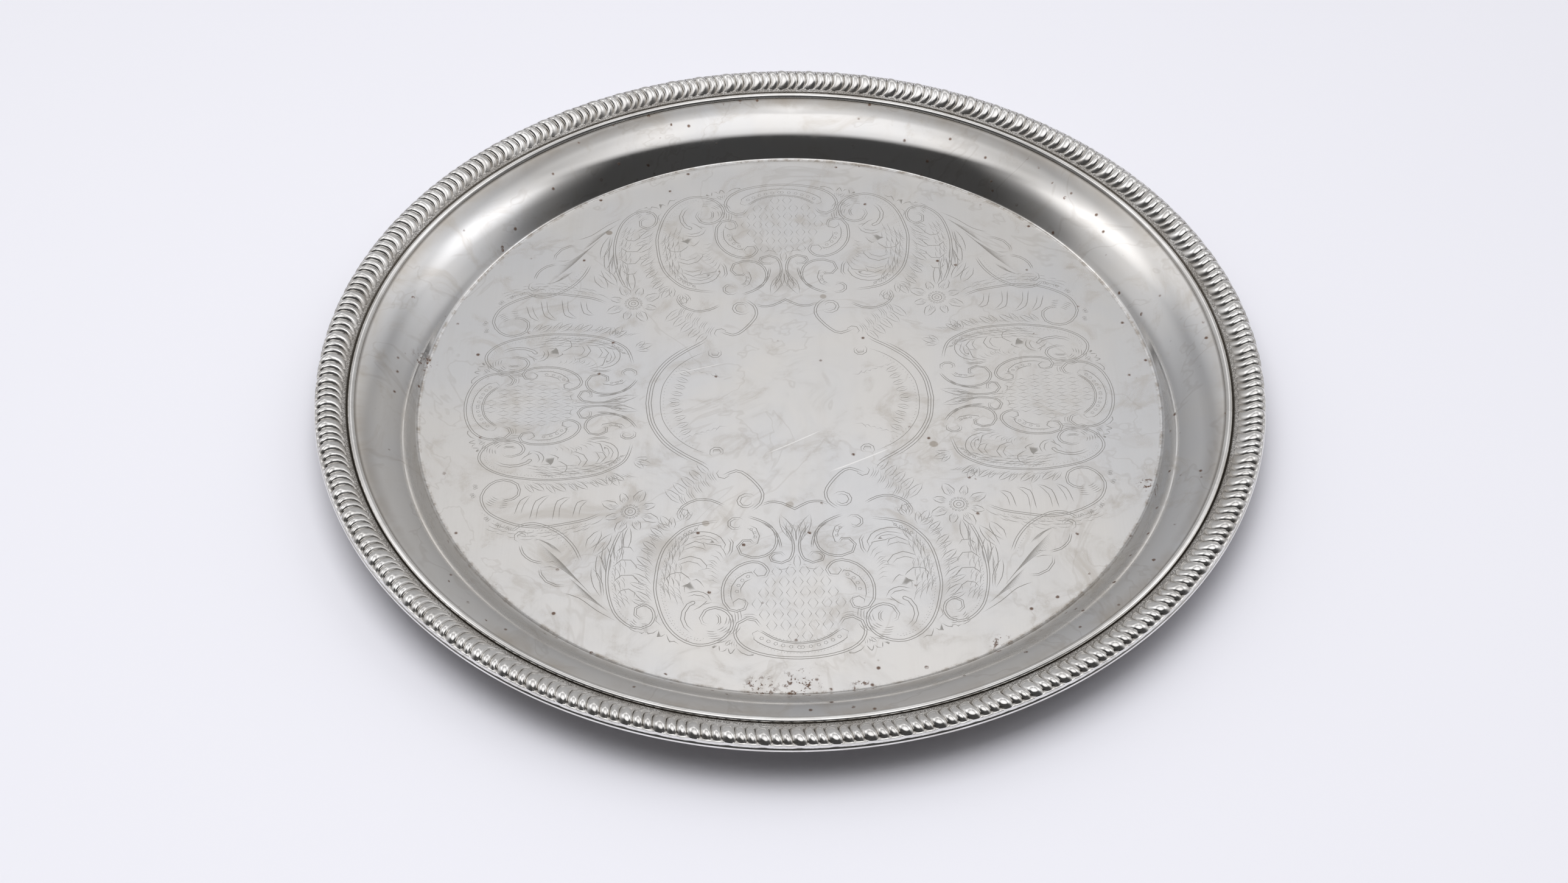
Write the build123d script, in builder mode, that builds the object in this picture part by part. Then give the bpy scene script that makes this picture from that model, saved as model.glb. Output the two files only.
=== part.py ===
import os
from math import asin, atan2, cos, degrees, hypot, radians, sin, sqrt, tan

from build123d import *

os.makedirs("parts", exist_ok=True)

# A round metal offering plate: a drawn pan with a flat floor, a curved wall
# and a shallow conical rim. A struck gadroon border lies on the rim, its outer
# wall brought down over the rim's edge, folded round a wire and clenched under
# the rim, its hollow filled with solder. The plate stands on the pan's flat
# floor, with +Z up through its middle.

# pan
outer_radius = 156.0        # over the folded edge
flange_run = 31.6           # from the floor's edge out to the folded edge, over wall and rim
pan_sheet = 0.8             # thickness of the drawn sheet
wall_angle = 60.0           # slope of the wall at its foot
shoulder_radius = 28.0      # bend of the wall over to the rim, on its top side
rim_angle = 10.6            # slope of the conical rim
corner_radius = 1.5         # tight corner between floor and wall, on its top side
rim_gap = 0.1               # from the rim's cut edge to the border's outer wall

# border
border_width = 12.9         # bead's inner toe to the outer edge
border_sheet = 0.5          # thickness of the struck strip
bead_radius = 1.2           # half-round bead along the inner edge
bead_wear = 10.0            # part of the bead's round that is worn flat, on top, in degrees
band_width = 1.55           # flat stippled band beside the bead
crest_height = 3.0          # top of the lobes over the rim
crest_setback = 2.55        # crest to the lobes' heads
head_height = 0.7           # foot of the heads over the rim
head_setback = 0.13         # foot of the heads to the rolled edge's outside
cove_depth = 0.07           # hollow in the wall between heads and rolled edge
lip_width = 2.0             # clenched lip under the rim
lip_gap = 0.02              # between that lip and the rim

# edge wire
wire_diameter = 0.7
wire_gap = 0.03             # between the wire and the fold round it
wire_clear = 0.05           # between the wire and the rim over it

# Wall and rim, seen in the XZ plane. Corner and shoulder are tangent arcs.
floor_radius = outer_radius - flange_run
shoulder_x = floor_radius + shoulder_radius * sin(radians(wall_angle))
shoulder_z = pan_sheet - shoulder_radius * cos(radians(wall_angle))
corner_z = pan_sheet + corner_radius
corner_x = shoulder_x - sqrt(
    (shoulder_radius + corner_radius) ** 2 - (corner_z - shoulder_z) ** 2
)
corner_end = degrees(atan2(shoulder_z - corner_z, shoulder_x - corner_x))
rim_start_x = shoulder_x - shoulder_radius * sin(radians(rim_angle))
rim_start_z = shoulder_z + shoulder_radius * cos(radians(rim_angle))

# The border is drawn along the rim: s runs outwards from under the middle of
# the bead, h stands square off the rim's top face.
bead_x = outer_radius - border_width + bead_radius
bead_z = rim_start_z + (bead_x - rim_start_x) * tan(radians(rim_angle))


def on_rim(s, h):
    tilt = radians(rim_angle)
    return (bead_x + s * cos(tilt) - h * sin(tilt), bead_z + s * sin(tilt) + h * cos(tilt))


wire_radius = wire_diameter / 2
fold_inside = wire_radius + wire_gap
fold_radius = fold_inside + border_sheet
wire_h = -pan_sheet - wire_clear - wire_radius
wire_s = (outer_radius - fold_radius - bead_x + wire_h * sin(radians(rim_angle))) / cos(
    radians(rim_angle)
)
fold_side_s = wire_s + fold_radius
head_s = fold_side_s - head_setback
head_inside_s = head_s - border_sheet
rim_end_s = head_inside_s - rim_gap


def round_fold(radius, angle):
    """Point on a circle round the edge wire, its angle taken from the rim."""
    return (wire_s + radius * cos(radians(angle)), wire_h + radius * sin(radians(angle)))


# Pan: one sheet, the floor, corner, wall, shoulder and rim in one profile.
with BuildPart() as pan:
    with BuildSketch(Plane.XZ):
        with BuildLine():
            corner_turn = corner_end + 90
            shoulder_from = corner_end + 180
            shoulder_turn = (90 + rim_angle) - shoulder_from
            top_floor = Line((0, pan_sheet), (corner_x, pan_sheet))
            top_corner = CenterArc((corner_x, corner_z), corner_radius, -90, corner_turn)
            top_wall = CenterArc((shoulder_x, shoulder_z), shoulder_radius, shoulder_from, shoulder_turn)
            top_rim = Line(top_wall @ 1, on_rim(rim_end_s, 0))
            rim_edge = Line(top_rim @ 1, on_rim(rim_end_s, -pan_sheet))
            under_wall = CenterArc(
                (shoulder_x, shoulder_z), shoulder_radius - pan_sheet, shoulder_from, shoulder_turn
            )
            under_rim = Line(rim_edge @ 1, under_wall @ 1)
            under_corner = CenterArc(
                (corner_x, corner_z), corner_radius + pan_sheet, -90, corner_turn
            )
            under_floor = Line(under_corner @ 0, (0, 0))
            middle = Line((0, 0), (0, pan_sheet))
        make_face()
    revolve(axis=Axis.Z)
pan.part.label = "pan"

# Border: bead, band, crest, outer wall, fold round the wire, clenched lip. The crest
# is the outer shape of the lobes, which are struck into it all the way round.
bead_end = degrees(asin(border_sheet / bead_radius))
flat_out = 82.0 - 0.5 * bead_wear
flat_in = flat_out + bead_wear
band_end_s = bead_radius + band_width
crest_s = head_s - crest_setback
rise_s = band_end_s + 0.56 * (crest_s - band_end_s)
rise_h = border_sheet + 0.68 * (crest_height - border_sheet)
brow = (crest_s + 0.65 * crest_setback, crest_height - 0.28 * (crest_height - head_height))
hollow_start_s = band_end_s + 0.4 * border_sheet
clench_s = wire_s - wire_radius - 0.55
lip_end_s = clench_s - lip_width
lip_top = -pan_sheet - lip_gap
lip_under = lip_top - border_sheet


def on_bead(angle):
    """Point on the bead's round, its angle taken from the rim."""
    return on_rim(bead_radius * cos(radians(angle)), bead_radius * sin(radians(angle)))


def hollow_arcs():
    """Inside of the crest, from the lobes' heads in to the band."""
    inside_head = (head_inside_s, head_height - 0.1)
    inside_crest = (crest_s - 0.1, crest_height - border_sheet)
    ThreePointArc(
        on_rim(*inside_head), on_rim(brow[0] - 0.4, brow[1] - 0.46), on_rim(*inside_crest)
    )
    ThreePointArc(
        on_rim(*inside_crest), on_rim(rise_s + 0.1, rise_h - 0.52), on_rim(hollow_start_s, 0)
    )
    return inside_head


with BuildPart() as gadroon_border:
    with BuildSketch(Plane.XZ):
        with BuildLine():
            Line(on_rim(hollow_start_s, 0), on_rim(-bead_radius, 0))
            bead_in = ThreePointArc(
                on_rim(-bead_radius, 0), on_bead(0.5 * (180 + flat_in)), on_bead(flat_in)
            )
            Line(bead_in @ 1, on_bead(flat_out))
            bead_out = ThreePointArc(
                on_bead(flat_out), on_bead(0.5 * (flat_out + bead_end)), on_bead(bead_end)
            )
            Line(bead_out @ 1, on_rim(band_end_s, border_sheet))
            ThreePointArc(
                on_rim(band_end_s, border_sheet),
                on_rim(rise_s, rise_h),
                on_rim(crest_s, crest_height),
            )
            ThreePointArc(on_rim(crest_s, crest_height), on_rim(*brow), on_rim(head_s, head_height))
            cove = ThreePointArc(
                on_rim(head_s, head_height),
                on_rim(head_s - cove_depth, 0.5 * (head_height + wire_h) + 0.2),
                on_rim(*round_fold(fold_radius, 36)),
            )
            fold = ThreePointArc(
                cove @ 1,
                on_rim(*round_fold(fold_radius, -35)),
                on_rim(*round_fold(fold_radius, -105)),
            )
            Line(fold @ 1, on_rim(clench_s - 0.35, lip_under))
            Line(on_rim(clench_s - 0.35, lip_under), on_rim(lip_end_s, lip_under))
            Line(on_rim(lip_end_s, lip_under), on_rim(lip_end_s, lip_top))
            Line(on_rim(lip_end_s, lip_top), on_rim(clench_s, lip_top))
            inside = ThreePointArc(
                on_rim(*round_fold(fold_inside, -125)),
                on_rim(*round_fold(fold_inside, -50)),
                on_rim(*round_fold(fold_inside, 25)),
            )
            Line(on_rim(clench_s, lip_top), inside @ 0)
            inside_head = hollow_arcs()
            Line(inside @ 1, on_rim(*inside_head))
        make_face()
    revolve(axis=Axis.Z)
gadroon_border.part.label = "gadroon_border"

# Solder that fills the hollow under the crest and joins the border to the rim.
with BuildPart() as border_solder:
    with BuildSketch(Plane.XZ):
        with BuildLine():
            inside_head = hollow_arcs()
            Line(on_rim(hollow_start_s, 0), on_rim(rim_end_s, 0))
            Line(on_rim(rim_end_s, 0), on_rim(*inside_head))
        make_face()
    revolve(axis=Axis.Z)
border_solder.part.label = "border_solder"

# Wire that the border's edge is folded round.
wire_x, wire_z = on_rim(wire_s, wire_h)
with BuildPart() as edge_wire:
    with BuildSketch(Plane.XZ):
        with Locations((wire_x, wire_z)):
            Circle(wire_radius)
    revolve(axis=Axis.Z)
edge_wire.part.label = "edge_wire"

export_step(pan.part, "parts/pan.step")
export_step(gadroon_border.part, "parts/gadroon_border.step")
export_step(border_solder.part, "parts/border_solder.step")
export_step(edge_wire.part, "parts/edge_wire.step")
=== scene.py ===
import math
import bpy
import bmesh
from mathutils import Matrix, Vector, kdtree
from mathutils.geometry import delaunay_2d_cdt


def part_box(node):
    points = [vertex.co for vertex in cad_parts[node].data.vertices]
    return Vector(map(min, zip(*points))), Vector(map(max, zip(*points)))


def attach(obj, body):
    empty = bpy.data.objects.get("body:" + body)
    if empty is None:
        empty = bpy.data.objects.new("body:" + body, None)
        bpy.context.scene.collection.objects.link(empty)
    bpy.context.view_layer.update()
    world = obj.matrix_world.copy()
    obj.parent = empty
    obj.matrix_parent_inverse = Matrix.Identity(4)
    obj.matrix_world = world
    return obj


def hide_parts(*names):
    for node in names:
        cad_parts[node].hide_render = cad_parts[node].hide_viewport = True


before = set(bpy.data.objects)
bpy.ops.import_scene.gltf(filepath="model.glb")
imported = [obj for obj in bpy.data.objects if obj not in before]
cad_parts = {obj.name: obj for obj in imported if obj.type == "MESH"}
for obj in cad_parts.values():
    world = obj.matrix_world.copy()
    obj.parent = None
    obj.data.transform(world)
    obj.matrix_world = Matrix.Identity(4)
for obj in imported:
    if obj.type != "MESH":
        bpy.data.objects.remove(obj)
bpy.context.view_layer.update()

# Offering plate: a plated pan with an engraved floor and a struck gadroon
# border on its rim. The scene is in metres, the value dictionaries are in
# millimetres and degrees unless a note says otherwise.

mm = 0.001
scene = bpy.context.scene

# the plate's profile, as in the CAD
profile = {
    "floorRadius": 124.4, "sheet": 0.8, "wallAngle": 60.0, "shoulderRadius": 28.0,
    "rimAngle": 10.6, "cornerRadius": 1.5, "outerRadius": 156.0, "borderWidth": 12.9,
    "beadRadius": 1.2, "bandWidth": 1.55, "borderSheet": 0.5, "headSetback": 0.13,
    "wireDiameter": 0.7, "wireGap": 0.03, "wireClear": 0.05, "rimGap": 0.1, "lipWidth": 2.0, "lipGap": 0.02,
}

wall = math.radians(profile["wallAngle"])
rim = math.radians(profile["rimAngle"])
shoulderX = profile["floorRadius"] + profile["shoulderRadius"] * math.sin(wall)
shoulderZ = profile["sheet"] - profile["shoulderRadius"] * math.cos(wall)
cornerZ = profile["sheet"] + profile["cornerRadius"]
cornerX = shoulderX - math.sqrt((profile["shoulderRadius"] + profile["cornerRadius"]) ** 2
                                - (cornerZ - shoulderZ) ** 2)
cornerEnd = math.atan2(shoulderZ - cornerZ, shoulderX - cornerX)
rimStart = (shoulderX - profile["shoulderRadius"] * math.sin(rim),
            shoulderZ + profile["shoulderRadius"] * math.cos(rim))
beadX = profile["outerRadius"] - profile["borderWidth"] + profile["beadRadius"]
beadZ = rimStart[1] + (beadX - rimStart[0]) * math.tan(rim)
foldInside = profile["wireDiameter"] / 2 + profile["wireGap"]
foldRadius = foldInside + profile["borderSheet"]
wireH = -profile["sheet"] - profile["wireClear"] - profile["wireDiameter"] / 2
wireS = (profile["outerRadius"] - foldRadius - beadX + wireH * math.sin(rim)) / math.cos(rim)
headInsideS = wireS + foldRadius - profile["headSetback"] - profile["borderSheet"]
rimEndS = headInsideS - profile["rimGap"]


def onRim(s, h):
    # s runs outwards along the rim from under the bead, h stands square off it
    return (beadX + s * math.cos(rim) - h * math.sin(rim), beadZ + s * math.sin(rim) + h * math.cos(rim))


def arcPoints(centre, radius, start, end, steps):
    turn = (end - start) / steps
    return [(centre[0] + radius * math.cos(start + turn * i),
             centre[1] + radius * math.sin(start + turn * i))
            for i in range(steps + 1)]


def between(x, table):
    # straight from one (x, value) pair to the next, and level past the last
    for (xa, a), (xb, b) in zip(table, table[1:]):
        if x <= xb:
            t = min(1.0, max(0.0, (x - xa) / (xb - xa)))
            return a + (b - a) * t
    return table[-1][1]


def link(name, mesh):
    obj = bpy.data.objects.new(name, mesh)
    scene.collection.objects.link(obj)
    return obj


def cleaned(mesh, join=0.0):
    # joins points closer than that, drops slivers and turns the faces outwards
    work = bmesh.new()
    work.from_mesh(mesh)
    if join:
        bmesh.ops.remove_doubles(work, verts=work.verts, dist=join)
    bmesh.ops.dissolve_degenerate(work, edges=work.edges, dist=0.0005 * mm)
    bmesh.ops.recalc_face_normals(work, faces=work.faces)
    work.to_mesh(mesh)
    work.free()
    return mesh


def meshFrom(name, verts, faces):
    # lengths in millimetres come in, metres go out
    mesh = bpy.data.meshes.new(name)
    mesh.from_pydata([(x * mm, y * mm, z * mm) for x, y, z in verts], [], faces)
    return cleaned(mesh, 0.002 * mm)


def smoothed(mesh, degrees):
    # round surfaces shade smooth, edges sharper than that stay crisp
    for p in mesh.polygons:
        p.use_smooth = True
    mesh.set_sharp_from_angle(angle=math.radians(degrees))
    return mesh


# engraving
# The pattern repeats in the four quarters of the floor, mirrored across both
# axes, so only the quarter at the front right is drawn. Each stroke is a line
# of points (across, outwards) given in one of three local frames:
# front, side or corner. Strokes are cut as V grooves into the floor's mesh.

engraving = {
    "line": 0.29, "hatch": 0.23, "fine": 0.19,   # widths of the cuts
    "depth": 0.026,                              # of the widest cut
    "step": 2.35,                                # length of a straight piece
    "sideSqueeze": (0.76, 0.985),                # the side cartouche beside the front one
    "latticePitch": 4.35, "diamond": (3.15, 5.6),
    "petals": 8, "petalLength": 10.5, "flowerAt": (-3.0, 71.7),
}
strokes = []
halfTurn = math.sqrt(0.5)


def front(p):
    return (p[0], -p[1])


def side(p):
    return (p[1], -p[0])


def sideSqueezed(p):
    return side((p[0] * engraving["sideSqueeze"][0], p[1] * engraving["sideSqueeze"][1]))


def corner(p):
    return ((p[1] - p[0]) * halfTurn, -(p[1] + p[0]) * halfTurn)


def smooth(points, step):
    # Catmull-Rom through the points, in pieces of about that length
    p = [Vector(q) for q in points]
    p = [2 * p[0] - p[1]] + p + [2 * p[-1] - p[-2]]
    out = [p[1]]
    for a, b, c, d in zip(p, p[1:], p[2:], p[3:]):
        n = max(1, round((c - b).length / step))
        for i in range(1, n + 1):
            t = i / n
            out.append(0.5 * ((2 * b) + (c - a) * t + (2 * a - 5 * b + 4 * c - d) * t * t
                              + (3 * b - a - 3 * c + d) * t ** 3))
    return out


def beside(points, gap):
    # a line at that distance to the left of the way the points run
    out = []
    for i, p in enumerate(points):
        along = points[min(i + 1, len(points) - 1)] - points[max(i - 1, 0)]
        along = along.normalized() if along.length > 1e-9 else Vector((1, 0))
        out.append(p + Vector((-along.y, along.x)) * gap)
    return out


def cut(place, points, width, taper=(0.25, 0.25)):
    # taper: share of the length over which each end narrows to a point
    line = [Vector(place(p)) for p in points]
    run = [0.0]
    for a, b in zip(line, line[1:]):
        run.append(run[-1] + (b - a).length)
    if run[-1] < 0.2:
        return
    widths = []
    for r in run:
        t = r / run[-1]
        w = 1.0
        if taper[0]:
            w = min(w, 0.15 + 0.85 * t / taper[0]) if t > 0 else 0.0
        if taper[1]:
            w = min(w, 0.15 + 0.85 * (1 - t) / taper[1]) if t < 0.9999 else 0.0
        widths.append(width * w / 2)
    strokes.append((line, widths))


def curve(place, points, kind="line", taper=(0.12, 0.12), double=0.0, step=None):
    line = smooth(points, step or engraving["step"])
    cut(place, line, engraving[kind], taper)
    if double:
        cut(place, beside(line, double), engraving[kind], taper)
    return line


def curves(place, lines, kind="line", taper=(0.12, 0.12)):
    for points in lines:
        curve(place, points, kind, taper)


def ring(place, centre, radius, kind="hatch", sides=7):
    turn = [Vector((centre[0] + radius * math.cos(2 * math.pi * i / sides),
                    centre[1] + radius * math.sin(2 * math.pi * i / sides))) for i in range(sides + 1)]
    cut(place, turn, engraving[kind], (0, 0))


def arc(place, centre, radius, start, end, kind="hatch", grow=0.0, taper=(0.3, 0.3), step=None):
    n = max(3, math.ceil(abs(math.radians(end - start)) * radius / (step or engraving["step"])))
    points = []
    for i in range(n + 1):
        a = math.radians(start + (end - start) * i / n)
        r = radius + grow * i / n
        points.append(Vector((centre[0] + r * math.cos(a), centre[1] + r * math.sin(a))))
    cut(place, points, engraving[kind], taper)


def beadRow(place, points, radius, spacing):
    line = smooth(points, 0.3)
    travelled, nextAt = 0.0, 0.0
    for a, b in zip(line, line[1:]):
        travelled += (b - a).length
        if travelled >= nextAt:
            ring(place, b, radius, "fine", 5)
            nextAt = travelled + spacing


def dashes(place, points, length, spacing, angle=90, kind="fine", offset=0.0):
    # short ticks along a line, turned from its direction by that angle
    line = smooth(points, 0.25)
    travelled, nextAt = 0.0, spacing / 2
    for a, b in zip(line, line[1:]):
        travelled += (b - a).length
        if travelled >= nextAt:
            along = (b - a).normalized()
            out = Vector((-along.y, along.x))
            middle = b + out * offset
            way = along * math.cos(math.radians(angle)) + out * math.sin(math.radians(angle))
            cut(place, [middle - way * length / 2, middle, middle + way * length / 2], engraving[kind],
                (0.4, 0.4))
            nextAt = travelled + spacing


def feather(place, stem, count, first, last, gap, length, turn, bend, kind="hatch"):
    # strokes that leave a stem on one side and bend away from it
    line = smooth(stem, 0.4)
    for k in range(count):
        at = first + (last - first) * k / max(1, count - 1)
        i = min(len(line) - 2, max(1, int(at * (len(line) - 1))))
        along = (line[i + 1] - line[i - 1]).normalized()
        out = Vector((-along.y, along.x))
        a = math.atan2(along.y, along.x) + math.radians(turn)
        p = line[i] + out * gap
        reach = length * (0.72 + 0.28 * math.sin(2.4 * k + 1.0))
        points = [p.copy()]
        n = 6
        for j in range(n):
            a += math.radians(bend) / n
            p = p + Vector((math.cos(a), math.sin(a))) * reach / n
            points.append(p.copy())
        cut(place, points, engraving[kind], (0.25, 0.6))


def leaf(place, base, tip, belly, kind="line", vein=True):
    # a pointed leaf: two bowed edges that meet at the tip, and a vein
    b, t = Vector(base), Vector(tip)
    along = t - b
    out = Vector((-along.y, along.x)).normalized() * along.length * belly
    curve(place, [b + out * 0.25, b + along * 0.4 + out, b + along * 0.75 + out * 0.72, t], kind,
          (0.3, 0.08))
    curve(place, [b - out * 0.25, b + along * 0.4 - out, b + along * 0.75 - out * 0.72, t], kind,
          (0.3, 0.08))
    if vein:
        curve(place, [b + along * 0.12, b + along * 0.45 + out * 0.12, b + along * 0.8], "fine", (0.3, 0.5))


def tuft(place, base, heading, size, spread=(-34, 0, 34), belly=0.2):
    for s in spread:
        a = math.radians(heading + s)
        reach = size * (1.0 - 0.22 * abs(s) / 34)
        leaf(place, base, (base[0] + math.cos(a) * reach, base[1] + math.sin(a) * reach), belly, "hatch")


def cartouche(place):
    # crescent below the lattice
    curve(place, [(12.2, 97.9), (13.8, 95.2), (16.3, 94.5), (18.9, 96.2), (19.8, 99.4), (18.7, 103.2),
                  (15.3, 106.4), (10.2, 108.4), (5, 109.4), (0, 109.7), (-1.5, 109.65)], taper=(0.08, 0),
          double=-0.8)
    curve(place, [(12.3, 98.9), (11.4, 99.4), (8.5, 101.7), (4.9, 103.3), (0, 104.0), (-1.5, 103.9)],
          taper=(0.1, 0), double=-0.55)
    curve(place, [(14.3, 100.6), (14.3, 102.4), (11, 105), (6.1, 107), (0, 107.8), (-1.5, 107.7)],
          taper=(0.1, 0))
    arc(place, (13.2, 100.7), 1.7, 200, 400, "fine")
    beadRow(place, [(12.2, 101.9), (9.9, 103.3), (7.4, 104.4), (4.9, 105.2), (2.4, 105.7), (0.2, 105.9)],
            0.62, 2.2)
    dashes(place, [(13.6, 103.4), (11, 105.7), (6.1, 107.6), (0, 108.3)], 0.5, 0.9)
    dashes(place, [(10, 100), (7.2, 101.9), (4.2, 103.0), (0, 103.5)], 0.6, 1.0, 70)
    arc(place, (15.9, 97.3), 4.1, 225, 300, "hatch")
    arc(place, (15.7, 97.2), 4.9, 235, 300, "fine")
    # bracket beside the lattice
    curve(place, [(12.2, 78), (9.8, 77.4), (8.8, 75), (10.6, 71.8), (14.2, 70.6), (18.9, 72.5),
                  (22.4, 76.6), (24, 81.5), (23.7, 87.6), (22, 90.6), (19.4, 91.5), (16.7, 90.5),
                  (15.8, 88), (17, 86), (18.9, 85.9)], double=0.75)
    curve(place, [(13.6, 76.9), (14.5, 75.2), (16.6, 75.8), (19.2, 78), (20.8, 81), (21.1, 85.1),
                  (20.5, 87.8)], taper=(0.05, 0.05))
    curve(place, [(14, 77.7), (16.6, 79.2), (18, 81.9), (18, 84.7)])
    beadRow(place, [(15.4, 76.9), (17.8, 79), (18.9, 81.5), (19.3, 84)], 0.6, 2.35)
    dashes(place, [(14.9, 74.5), (17, 75.2), (19.8, 77.6), (21.5, 81), (21.8, 85)], 0.5, 0.85)
    arc(place, (11.7, 75.1), 2.1, -60, 190, "line")
    arc(place, (18.4, 88.2), 2.2, 160, 400, "line")
    # lattice of diamonds
    pitch = engraving["latticePitch"]
    w, h = engraving["diamond"][0] / 2, engraving["diamond"][1] / 2
    for row in range(7):
        d = 75.3 + pitch * row
        for col in range(-1, 5):
            x = pitch * (col + (0.5 if row % 2 == 0 else 0.0))
            reach = (6.8, 12.0, 15.2, 14.2, 13.6, 12.0, 6.0)[row]
            if x > reach or x < -pitch:
                continue
            top, right, low, left = (Vector((x, d - h)), Vector((x + w, d)), Vector((x, d + h)),
                                     Vector((x - w, d)))
            cut(place, [top, right, low], engraving["hatch"], (0.1, 0.1))
            cut(place, [low, left, top], engraving["hatch"], (0.1, 0.1))
    # acorn-like drop between the upper volutes and the lattice
    leaf(place, (0, 74.4), (0, 68.2), 0.18, "hatch", False)
    curve(place, [(1.2, 71.6), (3.4, 74.2), (5.6, 74.6), (7.6, 72.6)], "hatch")
    for k in range(3):
        curve(place, [(0.5 + 0.5 * k, 74.2 - 1.1 * k), (1.6 + 0.6 * k, 73.6 - 1.2 * k),
                      (2.6 + 0.7 * k, 74.0 - 1.1 * k)], "fine")


def upperVolutes(place):
    curve(place, [(4.5, 54.6), (2.1, 58.6), (0.75, 62.7), (0.75, 67.1), (2.1, 70.7), (4.9, 72.2),
                  (8.2, 71.1), (8.8, 69.1), (7.3, 67.4), (4.8, 67.2), (3.4, 69)], double=-0.7)
    curve(place, [(10.6, 54.2), (6.9, 57.4), (5.1, 61.9), (4.6, 66)], double=-0.6)
    curve(place, [(15.4, 52.2), (11.8, 53.8), (8.2, 56.6), (6.5, 61), (7.3, 65.5), (10.2, 68.3),
                  (14.2, 68.9), (17.4, 67.5), (18.3, 64.6), (16.7, 62.4), (14.7, 62.3), (13.7, 63.8)],
          taper=(0.06, 0.03), double=0.7)
    curve(place, [(13.6, 63.9), (12.3, 63.4), (11.6, 60.2), (12.6, 57), (15, 55.4)])
    curve(place, [(13.9, 62.2), (13.2, 60.2), (14, 57.8), (15.8, 56.6)], "hatch")
    beadRow(place, [(13, 61), (13.1, 58.8), (14.6, 56.9)], 0.5, 1.7)
    arc(place, (19, 55), 3.2, -150, 140, "line", -0.9)
    arc(place, (19, 55), 2.3, -130, 170, "line", -0.8)
    # palmette under the middle, with short leaves
    for k, (x, d) in enumerate([(0, 59.0), (2.6, 58.2), (4.9, 55.6)]):
        leaf(place, (0.6 * k, 65.5 - 1.6 * k), (x, d - 4.4), 0.14, "hatch")
    curve(place, [(22, 60.5), (20.8, 62.8), (21.2, 66.2), (22.4, 68.8)], "line", double=0.8)
    for k in range(6):
        curve(place, [(22.0 + 0.9 * k, 69.4 + 0.9 * k), (23.2 + 1.0 * k, 65.8 + 1.5 * k),
                      (25.0 + 1.3 * k, 63.2 + 2.2 * k)], "hatch", (0.2, 0.5))
    for k in range(5):
        curve(place, [(24.6, 73.5 + 1.6 * k), (26.8, 71.0 + 1.8 * k), (28.6, 69.8 + 2.2 * k)], "hatch",
              (0.2, 0.5))


bigStem = [(23.9, 53), (29.1, 53.8), (33.6, 55), (36.8, 57), (40, 60.6), (42.5, 64.7), (44.1, 70.3),
           (44.9, 76.4), (45.2, 81.4), (44.5, 86.5), (43, 92.6), (40.9, 97.4), (37.6, 101.5), (33.6, 104),
           (30, 104.6), (26.3, 103.7), (23.1, 101.6), (21, 98.4), (20.5, 94.6), (22.2, 90.9), (26, 89),
           (29.5, 90.3), (31, 93.4), (30.3, 95.8), (28.3, 96.8)]


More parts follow.
